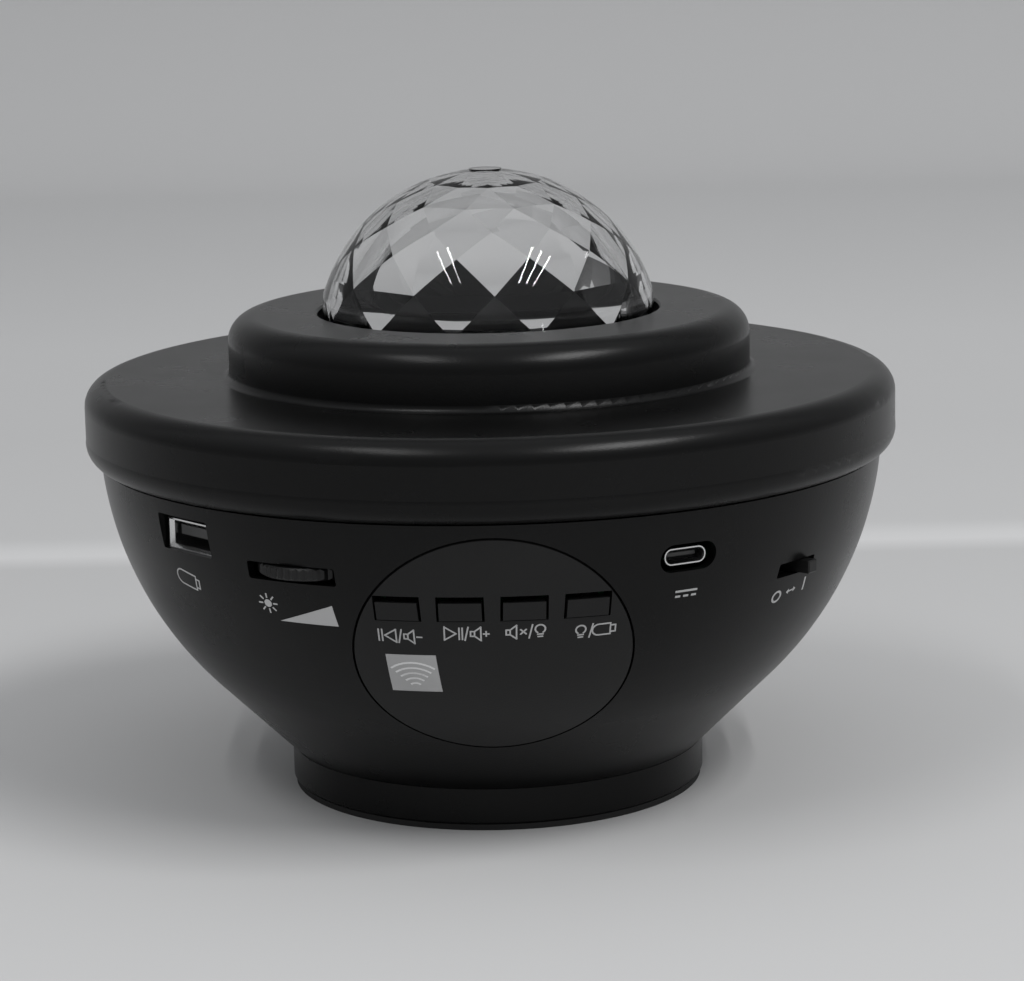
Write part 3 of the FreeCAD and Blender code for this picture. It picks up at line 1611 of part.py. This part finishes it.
def pieces():
    made = {
        "bowl_housing": bowl_housing(),
        "top_cover": top_cover(),
        "base_cover": base_cover(),
        "foot_pad": foot_pad(),
        "base_screws": base_screws(),
        "case_screws": case_screws(),
        "dome_lens": dome_lens(),
        "lamp_deck": lamp_deck(),
        "deck_screws": deck_screws(),
        "nebula_lens": nebula_lens(),
        "lens_ring": lens_ring(),
        "laser_barrel": laser_barrel(),
        "laser_lens": laser_lens(),
        "laser_grating": laser_grating(),
        "inner_frame": inner_frame(),
        "wave_disc": wave_disc(),
        "disc_spindle": disc_spindle(),
        "spindle_clip": spindle_clip(),
        "motor_can": motor_can(),
        "motor_shaft": motor_shaft(),
        "motor_pinion": motor_pinion(),
        "motor_clamp": motor_clamp(),
        "motor_screws": motor_screws(),
        "heat_sink": heat_sink(),
        "led_board": led_board(),
        "led_chips": led_chips(),
        "led_screws": led_screws(),
        "lens_holder": lens_holder(),
        "collimator_lens": collimator_lens(),
        "main_board": main_board(),
        "board_chips": board_chips(),
        "capacitors": capacitors(),
        "board_screws": board_screws(),
        "usb_a_shell": usb_a_shell(),
        "usb_a_tongue": usb_a_tongue(),
        "usb_c_shell": usb_c_shell(),
        "usb_c_tongue": usb_c_tongue(),
        "brightness_dial": brightness_dial(),
        "dial_screw": dial_screw(),
        "dial_potentiometer": dial_potentiometer(),
        "power_switch": power_switch(),
        "switch_knob": switch_knob(),
        "control_panel": control_panel(),
        "ir_window": ir_window(),
        "ir_receiver": ir_receiver(),
        "key_board": key_board(),
        "panel_screws": panel_screws(),
        "tact_switches": tact_switches(),
        "speaker_frame": speaker_frame(),
        "speaker_cone": speaker_cone(),
        "speaker_magnet": speaker_magnet(),
        "speaker_screws": speaker_screws(),
    }
    for i, azimuth in enumerate(key_azimuths):
        made["key_%d" % (i + 1)] = key(azimuth)
        made["plunger_%d" % (i + 1)] = plunger(azimuth)
    return made


def main():
    os.makedirs("parts", exist_ok=True)
    for name, shape in pieces().items():
        shape.exportStep("parts/" + name + ".step")
        print(name, len(shape.Solids), shape.isValid(), round(shape.Volume, 1))


main()
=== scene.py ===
import bpy
import bmesh
import math
from mathutils import Euler, Matrix, Vector
from mathutils.geometry import tessellate_polygon


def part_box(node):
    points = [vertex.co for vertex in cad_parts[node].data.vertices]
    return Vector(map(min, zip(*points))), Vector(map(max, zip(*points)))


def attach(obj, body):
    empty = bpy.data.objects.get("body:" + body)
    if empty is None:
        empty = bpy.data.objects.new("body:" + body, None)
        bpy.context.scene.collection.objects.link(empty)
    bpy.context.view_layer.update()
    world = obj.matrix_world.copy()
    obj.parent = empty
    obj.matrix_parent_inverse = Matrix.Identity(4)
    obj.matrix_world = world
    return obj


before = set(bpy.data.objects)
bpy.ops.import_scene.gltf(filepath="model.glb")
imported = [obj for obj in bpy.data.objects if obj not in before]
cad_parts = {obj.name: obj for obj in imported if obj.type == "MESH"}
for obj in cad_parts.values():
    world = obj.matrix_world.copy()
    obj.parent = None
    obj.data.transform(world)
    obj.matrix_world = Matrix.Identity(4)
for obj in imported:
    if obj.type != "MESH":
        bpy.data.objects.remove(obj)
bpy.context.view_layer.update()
mm = 0.001


# Camera: the photograph's viewpoint

camera_place = (0.0041328, -0.665424, 0.195435)
camera_pitch = 0.199659
camera_roll = 0.0215253
focal_pixels = 3232.98
picture_pixels = 1024
sensor_width = 36.0
clip_start = 0.01


def make_camera():
    data = bpy.data.cameras.new("camera")
    data.sensor_fit = "HORIZONTAL"
    data.sensor_width = sensor_width
    data.lens = focal_pixels / picture_pixels * sensor_width
    data.clip_start = clip_start
    camera = bpy.data.objects.new("camera", data)
    bpy.context.scene.collection.objects.link(camera)
    turn = Euler((math.pi / 2 - camera_pitch, 0, 0)).to_matrix() @ Matrix.Rotation(-camera_roll, 3, "Z")
    camera.matrix_world = Matrix.Translation(camera_place) @ turn.to_4x4()
    bpy.context.scene.camera = camera


# Materials: noise scales are per metre, bump depths in metres

soft_detail = 2.0
fine_detail = 3.0
even_noise = 0.5
ramp_from = 0.35
ramp_to = 0.65

plastic_cloud = 28.0
plastic_gloss = 60.0
plastic_gloss_detail = 4.0
metal_cloud = 90.0
metal_gloss = 220.0
clear_cloud = 30.0
clear_gloss = 70.0
clear_darker = 0.97
acrylic_ior = 1.49


def new_material(name):
    material = bpy.data.materials.new(name)
    material.use_nodes = True
    tree = material.node_tree
    return material, tree, tree.nodes["Principled BSDF"]


def link(tree, a, b):
    tree.links.new(a, b)


def node(tree, kind, **values):
    made = tree.nodes.new(kind)
    for key, value in values.items():
        setattr(made, key, value)
    return made


def noise(tree, scale, detail=soft_detail, rough=even_noise):
    place = node(tree, "ShaderNodeTexCoord")
    made = node(tree, "ShaderNodeTexNoise")
    made.inputs["Scale"].default_value = scale
    made.inputs["Detail"].default_value = detail
    made.inputs["Roughness"].default_value = rough
    link(tree, place.outputs["Object"], made.inputs["Vector"])
    return made.outputs["Fac"]


def spread(tree, source, low, high):
    made = node(tree, "ShaderNodeMapRange")
    made.inputs["To Min"].default_value = low
    made.inputs["To Max"].default_value = high
    link(tree, source, made.inputs["Value"])
    return made


def tint(tree, shader, source, low, high, low_at=ramp_from, high_at=ramp_to):
    """Base colour between two tones, by a pattern."""
    made = node(tree, "ShaderNodeValToRGB")
    for stop, at, tone in zip(made.color_ramp.elements, (low_at, high_at), (low, high)):
        stop.position = at
        stop.color = (*tone, 1)
    link(tree, source, made.inputs["Fac"])
    link(tree, made.outputs["Color"], shader.inputs["Base Color"])


def gloss(tree, shader, source, low, high):
    """Roughness between two values, by a pattern."""
    made = spread(tree, source, low, high)
    link(tree, made.outputs["Result"], shader.inputs["Roughness"])


def bump(tree, shader, source, distance):
    made = node(tree, "ShaderNodeBump")
    made.inputs["Distance"].default_value = distance
    made.inputs["Strength"].default_value = 1.0
    link(tree, source, made.inputs["Height"])
    link(tree, made.outputs["Normal"], shader.inputs["Normal"])


def grey(value):
    return (value, value, value)


def plastic(name, low, high, rough_low, rough_high, grain=2600.0, depth=0.00002, specular=0.5):
    """Moulded plastic: fine grain, soft changes of colour and gloss."""
    material, tree, shader = new_material(name)
    tint(tree, shader, noise(tree, plastic_cloud, fine_detail), low, high)
    gloss(tree, shader, noise(tree, plastic_gloss, plastic_gloss_detail), rough_low, rough_high)
    shader.inputs["Specular IOR Level"].default_value = specular
    bump(tree, shader, noise(tree, grain), depth)
    return material


def metal(name, low, high, rough_low, rough_high, grain=900.0, depth=0.00001):
    """Bare metal with faint changes of colour and gloss."""
    material, tree, shader = new_material(name)
    tint(tree, shader, noise(tree, metal_cloud, fine_detail), low, high)
    shader.inputs["Metallic"].default_value = 1.0
    gloss(tree, shader, noise(tree, metal_gloss, fine_detail), rough_low, rough_high)
    bump(tree, shader, noise(tree, grain), depth)
    return material


def clear(name, colour, rough, ripple=0.0, ripple_scale=220.0, shine=1.0):
    """Clear moulded acrylic, rippled where the ripple has a depth."""
    material, tree, shader = new_material(name)
    tint(tree, shader, noise(tree, clear_cloud), colour, tuple(clear_darker * c for c in colour))
    shader.inputs["Transmission Weight"].default_value = 1.0
    shader.inputs["IOR"].default_value = acrylic_ior
    shader.inputs["Specular Tint"].default_value = (*grey(shine), 1)
    gloss(tree, shader, noise(tree, clear_gloss, fine_detail), 0.5 * rough, 1.5 * rough)
    if ripple:
        bump(tree, shader, noise(tree, ripple_scale, 1.0), ripple)
    return material


def coated_lens():
    """Clear lens with a violet-blue coating that changes with the angle."""
    material, tree, shader = new_material("lens_coated")
    edge = node(tree, "ShaderNodeLayerWeight")
    edge.inputs["Blend"].default_value = 0.35
    tint(tree, shader, edge.outputs["Facing"], (0.02, 0.02, 0.20), (0.14, 0.09, 0.42), 0.1, 0.9)
    gloss(tree, shader, noise(tree, 80.0), 0.04, 0.09)
    shader.inputs["Metallic"].default_value = 0.35
    shader.inputs["Coat Weight"].default_value = 1.0
    return material


def speckled(name, low, high, rough, scale, detail, depth):
    """Dull surface with one grain for its colour and its relief."""
    material, tree, shader = new_material(name)
    grain = noise(tree, scale, detail, 0.7)
    tint(tree, shader, grain, low, high)
    shader.inputs["Roughness"].default_value = rough
    bump(tree, shader, grain, depth)
    return material


def board():
    """Green solder mask with faint tracks."""
    material, tree, shader = new_material("board_green")
    place = node(tree, "ShaderNodeTexCoord")
    tracks = node(tree, "ShaderNodeTexBrick")
    tracks.inputs["Scale"].default_value = 160.0
    tracks.inputs["Mortar Size"].default_value = 0.03
    tracks.inputs["Color1"].default_value = (0.012, 0.085, 0.035, 1)
    tracks.inputs["Color2"].default_value = (0.014, 0.095, 0.040, 1)
    tracks.inputs["Mortar"].default_value = (0.03, 0.15, 0.07, 1)
    link(tree, place.outputs["Object"], tracks.inputs["Vector"])
    link(tree, tracks.outputs["Color"], shader.inputs["Base Color"])
    gloss(tree, shader, noise(tree, 120.0), 0.25, 0.4)
    return material


def make_materials():
    """Each with its darker and lighter tone, then its least and most roughness."""
    return {
        "case": plastic("case_black", grey(0.0026), grey(0.0036), 0.25, 0.31, specular=0.18),
        "panel": plastic("panel_black", grey(0.0080), grey(0.0100), 0.34, 0.42, specular=0.24),
        "trim": plastic("trim_black", grey(0.004), grey(0.006), 0.45, 0.6),
        "knob": plastic("knob_black", grey(0.005), grey(0.007), 0.33, 0.42, specular=0.35),
        "rubber": plastic("rubber_black", grey(0.008), grey(0.014), 0.6, 0.75, 1800.0, 0.00004, 0.35),
        "screw": metal("screw_steel", grey(0.42), grey(0.55), 0.25, 0.38),
        "socket": metal("socket_steel", grey(0.62), grey(0.74), 0.16, 0.28),
        "brass": metal("barrel_brass", (0.55, 0.40, 0.16), (0.66, 0.50, 0.24), 0.18, 0.3),
        "sink": metal("sink_aluminium", grey(0.50), grey(0.60), 0.3, 0.42),
        "dome": clear("dome_clear", grey(0.99), 0.004, shine=0.5),
        "lens": clear("lens_clear", grey(0.98), 0.02),
        "wave": clear("wave_clear", grey(0.98), 0.03, ripple=0.0006),
        "coated": coated_lens(),
        "gear": plastic("gear_white", grey(0.55), grey(0.62), 0.4, 0.5),
        "led": plastic("led_phosphor", (0.62, 0.50, 0.10), (0.70, 0.58, 0.14), 0.25, 0.35),
        "board": board(),
        "chip": plastic("chip_black", grey(0.010), grey(0.014), 0.35, 0.5, 3000.0, 0.00001),
        "tongue": plastic("tongue_grey", grey(0.045), grey(0.06), 0.35, 0.45),
        "sleeve": plastic("capacitor_sleeve", (0.010, 0.012, 0.03), (0.012, 0.015, 0.04), 0.2, 0.3),
        "window": plastic("window_grey", grey(0.40), grey(0.52), 0.35, 0.5, 1500.0, 0.00004),
        "basket": plastic("speaker_steel", grey(0.010), grey(0.014), 0.3, 0.42),
        "paper": speckled("speaker_paper", grey(0.012), grey(0.03), 0.85, 900.0, 6.0, 0.00006),
        "ferrite": speckled("speaker_ferrite", grey(0.03), grey(0.07), 0.7, 1400.0, 5.0, 0.00005),
        "signal": plastic("signal_light", grey(0.78), grey(0.86), 0.45, 0.6, 2200.0, 0.00001),
        "print": plastic("print_grey", grey(0.42), grey(0.52), 0.45, 0.6, 2200.0, 0.00001),
    }


wearers = {
    "case": "bowl_housing top_cover base_cover",
    "panel": "control_panel key_1 key_2 key_3 key_4",
    "trim": "lamp_deck lens_ring inner_frame lens_holder plunger_1 plunger_2 plunger_3 plunger_4",
    "knob": "brightness_dial switch_knob",
    "rubber": "foot_pad",
    "screw": "base_screws case_screws deck_screws motor_screws led_screws board_screws dial_screw "
             "panel_screws speaker_screws spindle_clip disc_spindle motor_shaft motor_clamp",
    "socket": "usb_a_shell usb_c_shell motor_can",
    "dome": "dome_lens",
    "coated": "nebula_lens",
    "lens": "laser_lens laser_grating collimator_lens",
    "wave": "wave_disc",
    "brass": "laser_barrel",
    "gear": "motor_pinion",
    "sink": "heat_sink led_board",
    "led": "led_chips",
    "board": "main_board key_board",
    "chip": "board_chips ir_receiver dial_potentiometer power_switch tact_switches",
    "tongue": "usb_a_tongue usb_c_tongue",
    "sleeve": "capacitors",
    "window": "ir_window",
    "basket": "speaker_frame",
    "paper": "speaker_cone",
    "ferrite": "speaker_magnet",
}


def dress(materials):
    for name, nodes in wearers.items():
        for each in nodes.split():
            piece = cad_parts[each]
            piece.data.materials.clear()
            piece.data.materials.append(materials[name])


# Prints on the bowl: shapes in millimetres, laid on its surface

bowl_arc_radius = 72.546
bowl_arc_centre = (8.702, 76.598)
print_lift = 0.03
print_thick = 0.05
print_step = 0.8
print_rounds = 6


def on_bowl(azimuth, height, along, up):
    """Point on the bowl, a step along and a step up its surface from a place."""
    radius, centre = bowl_arc_centre
    angle = math.asin((height - centre) / bowl_arc_radius) + up / bowl_arc_radius
    at = radius + (bowl_arc_radius + print_lift) * math.cos(angle)
    z = centre + (bowl_arc_radius + print_lift) * math.sin(angle)
    turn = math.radians(azimuth) + along / at
    return Vector((at * math.sin(turn), -at * math.cos(turn), z)) * mm


def stroke(points, width, closed=False):
    """Line of some width through points, as one flat bar for each run."""
    places = [Vector(p) for p in points]
    ends = places[1:] + places[:1] if closed else places[1:]
    quads = []
    for start, end in zip(places, ends):
        way = (end - start).normalized()
        side = Vector((-way.y, way.x)) * width / 2
        tip = way * width / 2
        quads.append([start - tip + side, start - tip - side, end + tip - side, end + tip + side])
    return quads


def arc(x, y, radius, start, end, steps=10):
    """Points of an arc between two angles in degrees."""
    turns = [math.radians(start + (end - start) * i / steps) for i in range(steps + 1)]
    return [(x + radius * math.cos(a), y + radius * math.sin(a)) for a in turns]


def lean(shapes, degrees):
    turn = Matrix.Rotation(math.radians(degrees), 2)
    return [[turn @ Vector(p) for p in shape] for shape in shapes]


def shifted(shapes, x):
    return [[Vector(p) + Vector((x, 0)) for p in shape] for shape in shapes]


def row(*marks):
    """Marks side by side, each with its step to the right."""
    return [shape for shapes, x in marks for shape in shifted(shapes, x)]


def filled(shapes):
    """Flat mesh of closed outlines, cut so fine that it can follow the bowl."""
    mesh = bmesh.new()
    for shape in shapes:
        flat = [Vector((p[0], p[1], 0)) for p in shape]
        corners = [mesh.verts.new(p) for p in flat]
        for tri in tessellate_polygon([flat]):
            mesh.faces.new([corners[i] for i in tri])
    for _ in range(print_rounds):
        long_edges = [e for e in mesh.edges if e.calc_length() > print_step]
        if not long_edges:
            break
        bmesh.ops.subdivide_edges(mesh, edges=long_edges, cuts=1)
        bmesh.ops.triangulate(mesh, faces=[f for f in mesh.faces if len(f.verts) > 3])
    return mesh


def new_piece(name, mesh, material):
    data = bpy.data.meshes.new(name)
    mesh.to_mesh(data)
    mesh.free()
    data.materials.append(material)
    piece = bpy.data.objects.new(name, data)
    bpy.context.scene.collection.objects.link(piece)
    return piece


def lay_print(name, shapes, azimuth, height, material, body="housing"):
    mesh = filled(shapes)
    for vert in mesh.verts:
        vert.co = on_bowl(azimuth, height, vert.co.x, vert.co.y)
    bmesh.ops.recalc_face_normals(mesh, faces=mesh.faces)
    piece = new_piece(name, mesh, material)
    thick = piece.modifiers.new("thickness", "SOLIDIFY")
    thick.thickness = print_thick * mm
    thick.offset = 0.0
    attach(piece, body)


# Pictograms: outlines and lines about each mark's own middle

line = 0.30
bold_line = 0.42
mark_line = 0.48
ray_line = 0.32

horn_outline = ((-0.95, 0.55), (-0.2, 0.55), (1.0, 1.55), (1.0, -1.55), (-0.2, -0.55), (-0.95, -0.55))
horn_back = ((-0.2, 0.55), (-0.2, -0.55))
play_half = 1.1
play_rise = 1.5
bar_rise = 1.3
slash_ends = ((-0.32, -1.5), (0.32, 1.5))
minus_ends = ((-0.45, 0), (0.45, 0))
plus_ends = (((-0.5, 0), (0.5, 0)), ((0, 0.5), (0, -0.5)))
cross_ends = (((-0.5, -0.5), (0.5, 0.5)), ((-0.5, 0.5), (0.5, -0.5)))
bulb_glass = (0, 0.45, 0.95, -55, 235, 16)
bulb_cap = (((-0.5, -0.75), (0.5, -0.75)), ((-0.4, -1.3), (0.4, -1.3)))
stick_round = 0.7
stick_plug = 1.0
stick_plug_share = 0.3
sun_disc = (0, 0, 0.85, 0, 360, 18)
sun_rays = 8
ray_start = 1.35
ray_end = 2.05
direct_half = 2.2
direct_rise = 0.55
direct_dashes = (-1.75, 0, 1.75)
dash_half = 0.35
arrow_shaft = ((-0.9, 0), (0.9, 0))
arrow_heads = [
    ((-1.5, 0), (-0.75, 0.6), (-0.75, -0.6)),
    ((1.5, 0), (0.75, -0.6), (0.75, 0.6)),
]
off_ring = (0, 0, 1.15, 0, 360, 20)
on_line = ((0, -1.3), (0, 1.3))
switch_reach = 4.4
ramp_corners = ((-6.2, -0.2), (6.2, 4.4), (6.6, -0.2))
signal_arcs = 5
signal_drop = -3.9
signal_first = 1.3
signal_step = 1.35
signal_angles = (52, 128)


def strokes(lines, width=line):
    return [shape for ends in lines for shape in stroke(ends, width)]


def speaker_mark():
    """Small loudspeaker: a box and its horn."""
    return stroke(horn_outline, line, True) + stroke(horn_back, line)


def play_mark(way):
    """Triangle that points right for 1 and left for -1."""
    outline = ((-way * play_half, play_rise), (way * play_half, 0), (-way * play_half, -play_rise))
    return stroke(outline, line, True)


def bars(gap):
    """Two upright lines, the first in the middle."""
    return strokes([((x, bar_rise), (x, -bar_rise)) for x in (0, gap)])


def bulb_mark():
    """Lamp bulb: a round glass and a cap."""
    return stroke(arc(*bulb_glass), line) + strokes(bulb_cap)


def stick_mark(length, width):
    """Memory stick: a body with a round end and a plug."""
    half = length / 2
    root = half - stick_plug
    plug_rise = width * stick_plug_share
    body = arc(stick_round - half, 0, width / 2, 90, 270) + [(root, -width / 2), (root, width / 2)]
    plug = ((root, plug_rise), (half, plug_rise), (half, -plug_rise), (root, -plug_rise))
    return stroke(body, line, True) + stroke(plug, line)


def sun_mark():
    shapes = [arc(*sun_disc)[:-1]]
    for i in range(sun_rays):
        angle = math.radians(360 * i / sun_rays)
        way = Vector((math.cos(angle), math.sin(angle)))
        shapes += stroke([way * ray_start, way * ray_end], ray_line)
    return shapes


def direct_current_mark():
    """Full line over a broken line."""
    lines = [((-direct_half, direct_rise), (direct_half, direct_rise))]
    lines += [((x - dash_half, -direct_rise), (x + dash_half, -direct_rise)) for x in direct_dashes]
    return strokes(lines, bold_line)


def switch_mark():
    """Ring for off, line for on, and a double arrow between them."""
    ring = stroke(arc(*off_ring)[:-1], bold_line, True)
    arrows = stroke(arrow_shaft, line) + arrow_heads
    return row((ring, -switch_reach), (arrows, 0), (stroke(on_line, mark_line), switch_reach))


def signal_mark():
    """Fan of arcs over a point, as on a receiver."""
    shapes = []
    for i in range(signal_arcs):
        shapes += stroke(arc(0, signal_drop, signal_first + signal_step * i, *signal_angles), bold_line)
    return shapes


def node_place(name):
    """Azimuth and height of a node's middle."""
    low, high = (Vector(corner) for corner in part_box(name))
    middle = (low + high) / 2
    return math.degrees(math.atan2(middle.x, -middle.y)), middle.z / mm


def make_prints(materials):
    """Each print's name, shapes, lean in degrees, azimuth in degrees and height."""
    slash = strokes([slash_ends])
    speaker = speaker_mark()
    bulb = bulb_mark()
    minus = strokes([minus_ends])
    plus = strokes(plus_ends)
    cross = strokes(cross_ends)
    back = row((bars(0.7), -4.0), (play_mark(-1), -1.7), (slash, 0.2), (speaker, 1.9), (minus, 3.9))
    play = row((play_mark(1), -3.0), (bars(0.6), -1.3), (slash, 0.1), (speaker, 1.8), (plus, 3.8))
    mute = row((speaker, -3.2), (cross, -0.9), (slash, 0.5), (bulb, 2.3))
    source = row((bulb, -2.6), (slash, -0.6), (stick_mark(4.0, 2.5), 2.2))
    prints = (
        ("print_back", back, -2, -13.6, 48.1),
        ("print_play", play, -1, -3.85, 48.8),
        ("print_mute", mute, 1, 5.0, 49.0),
        ("print_source", source, 2, 14.6, 48.4),
        ("print_stick", stick_mark(6.0, 3.2), -12, -49.3, 54.65),
        ("print_sun", sun_mark(), 0, -33.7, 52.9),
        ("print_direct", direct_current_mark(), 0, 28.2, 54.1),
        ("print_switch", switch_mark(), 8, 50.0, 49.6),
        ("print_ramp", [ramp_corners], 0, -27.6, 49.6),
    )
    for name, shapes, degrees, azimuth, height in prints:
        lay_print(name, lean(shapes, degrees), azimuth, height, materials["print"])
    lay_print("print_signal", signal_mark(), *node_place("ir_window"), materials["signal"])


# Studio

# Tone of the sheet by its Y plus Z in metres: floor, a painted light line behind the object that stands
# for the lit foot of a wall, then far floor and wall, made lighter with painted light
paper_start = -0.6
paper_length = 2.0
paper_tones_and_painted_light = (
    (0.0, 0.57), (0.205, 0.54), (0.222, 0.68), (0.245, 0.565), (0.4, 0.575), (0.6, 0.62), (1.3, 0.62),
)
paper_rough = 0.9
paper_specular = 0.1

sheet_half = 2.6
floor_back = 1.15
bend = 0.16
bend_steps = 10

# Long lamps above and in front, with each one's X and power
tube_height = 1.5
tube_width = 0.03
tube_length = 0.95
tube_front = -0.8
tube_places = ((-0.75, 3.2), (-0.56, 3.2), (0.67, 6.4), (0.84, 6.4), (1.03, 6.4))

world_colour = (0.96, 0.975, 1.0)
world_low = 0.24
world_high = 0.70


def sweep(material):
    """Floor and wall in one sheet with a rounded corner."""
    profile = [(-sheet_half, 0.0)]
    for i in range(bend_steps + 1):
        angle = math.radians(90 * i / bend_steps)
        profile.append((floor_back + bend * math.sin(angle), bend - bend * math.cos(angle)))
    profile.append((floor_back + bend, sheet_half))
    mesh = bmesh.new()
    rows = [[mesh.verts.new((x, y, z)) for y, z in profile] for x in (-sheet_half, sheet_half)]
    for i in range(len(profile) - 1):
        mesh.faces.new([rows[0][i], rows[1][i], rows[1][i + 1], rows[0][i + 1]])
    for face in mesh.faces:
        face.smooth = True
    piece = new_piece("sweep", mesh, material)


def paper_material():
    material, tree, shader = new_material("backdrop")
    place = node(tree, "ShaderNodeNewGeometry")
    parts = node(tree, "ShaderNodeSeparateXYZ")
    link(tree, place.outputs["Position"], parts.inputs["Vector"])
    along = node(tree, "ShaderNodeMath", operation="ADD")
    link(tree, parts.outputs["Y"], along.inputs[0])
    link(tree, parts.outputs["Z"], along.inputs[1])
    share = spread(tree, along.outputs["Value"], 0.0, 1.0)
    share.inputs["From Min"].default_value = paper_start
    share.inputs["From Max"].default_value = paper_start + paper_length
    # Ramp of painted tones by place on the sheet: the paper's own tone, a painted light line and a far
    # floor and wall lightened with painted light
    made = node(tree, "ShaderNodeValToRGB")
    stops = made.color_ramp.elements
    while len(stops) < len(paper_tones_and_painted_light):
        stops.new(0.5)
    for stop, (at, tone) in zip(stops, paper_tones_and_painted_light):
        stop.position = (at - paper_start) / paper_length
        stop.color = (*grey(tone), 1)
    link(tree, share.outputs["Result"], made.inputs["Fac"])
    link(tree, made.outputs["Color"], shader.inputs["Base Color"])
    shader.inputs["Roughness"].default_value = paper_rough
    shader.inputs["Specular IOR Level"].default_value = paper_specular
    return material


def tube_light(name, x, power):
    """Long lamp that shines straight down."""
    data = bpy.data.lights.new(name, "AREA")
    data.shape = "RECTANGLE"
    data.size = tube_width
    data.size_y = tube_length
    data.energy = power
    lamp = bpy.data.objects.new(name, data)
    lamp.location = (x, tube_front, tube_height)
    bpy.context.scene.collection.objects.link(lamp)


def make_world():
    """Soft room light, stronger from above than from the sides."""
    world = bpy.data.worlds.new("world")
    bpy.context.scene.world = world
    world.use_nodes = True
    tree = world.node_tree
    back = tree.nodes["Background"]
    back.inputs["Color"].default_value = (*world_colour, 1)
    place = node(tree, "ShaderNodeTexCoord")
    parts = node(tree, "ShaderNodeSeparateXYZ")
    link(tree, place.outputs["Generated"], parts.inputs["Vector"])
    strength = spread(tree, parts.outputs["Z"], world_low, world_high)
    link(tree, strength.outputs["Result"], back.inputs["Strength"])


def make_studio():
    sweep(paper_material())
    make_world()
    for i, (x, power) in enumerate(tube_places):
        tube_light("tube_%d" % i, x, power)


def main():
    make_camera()
    materials = make_materials()
    dress(materials)
    make_prints(materials)
    make_studio()
    bpy.context.scene.view_settings.view_transform = "Standard"


main()
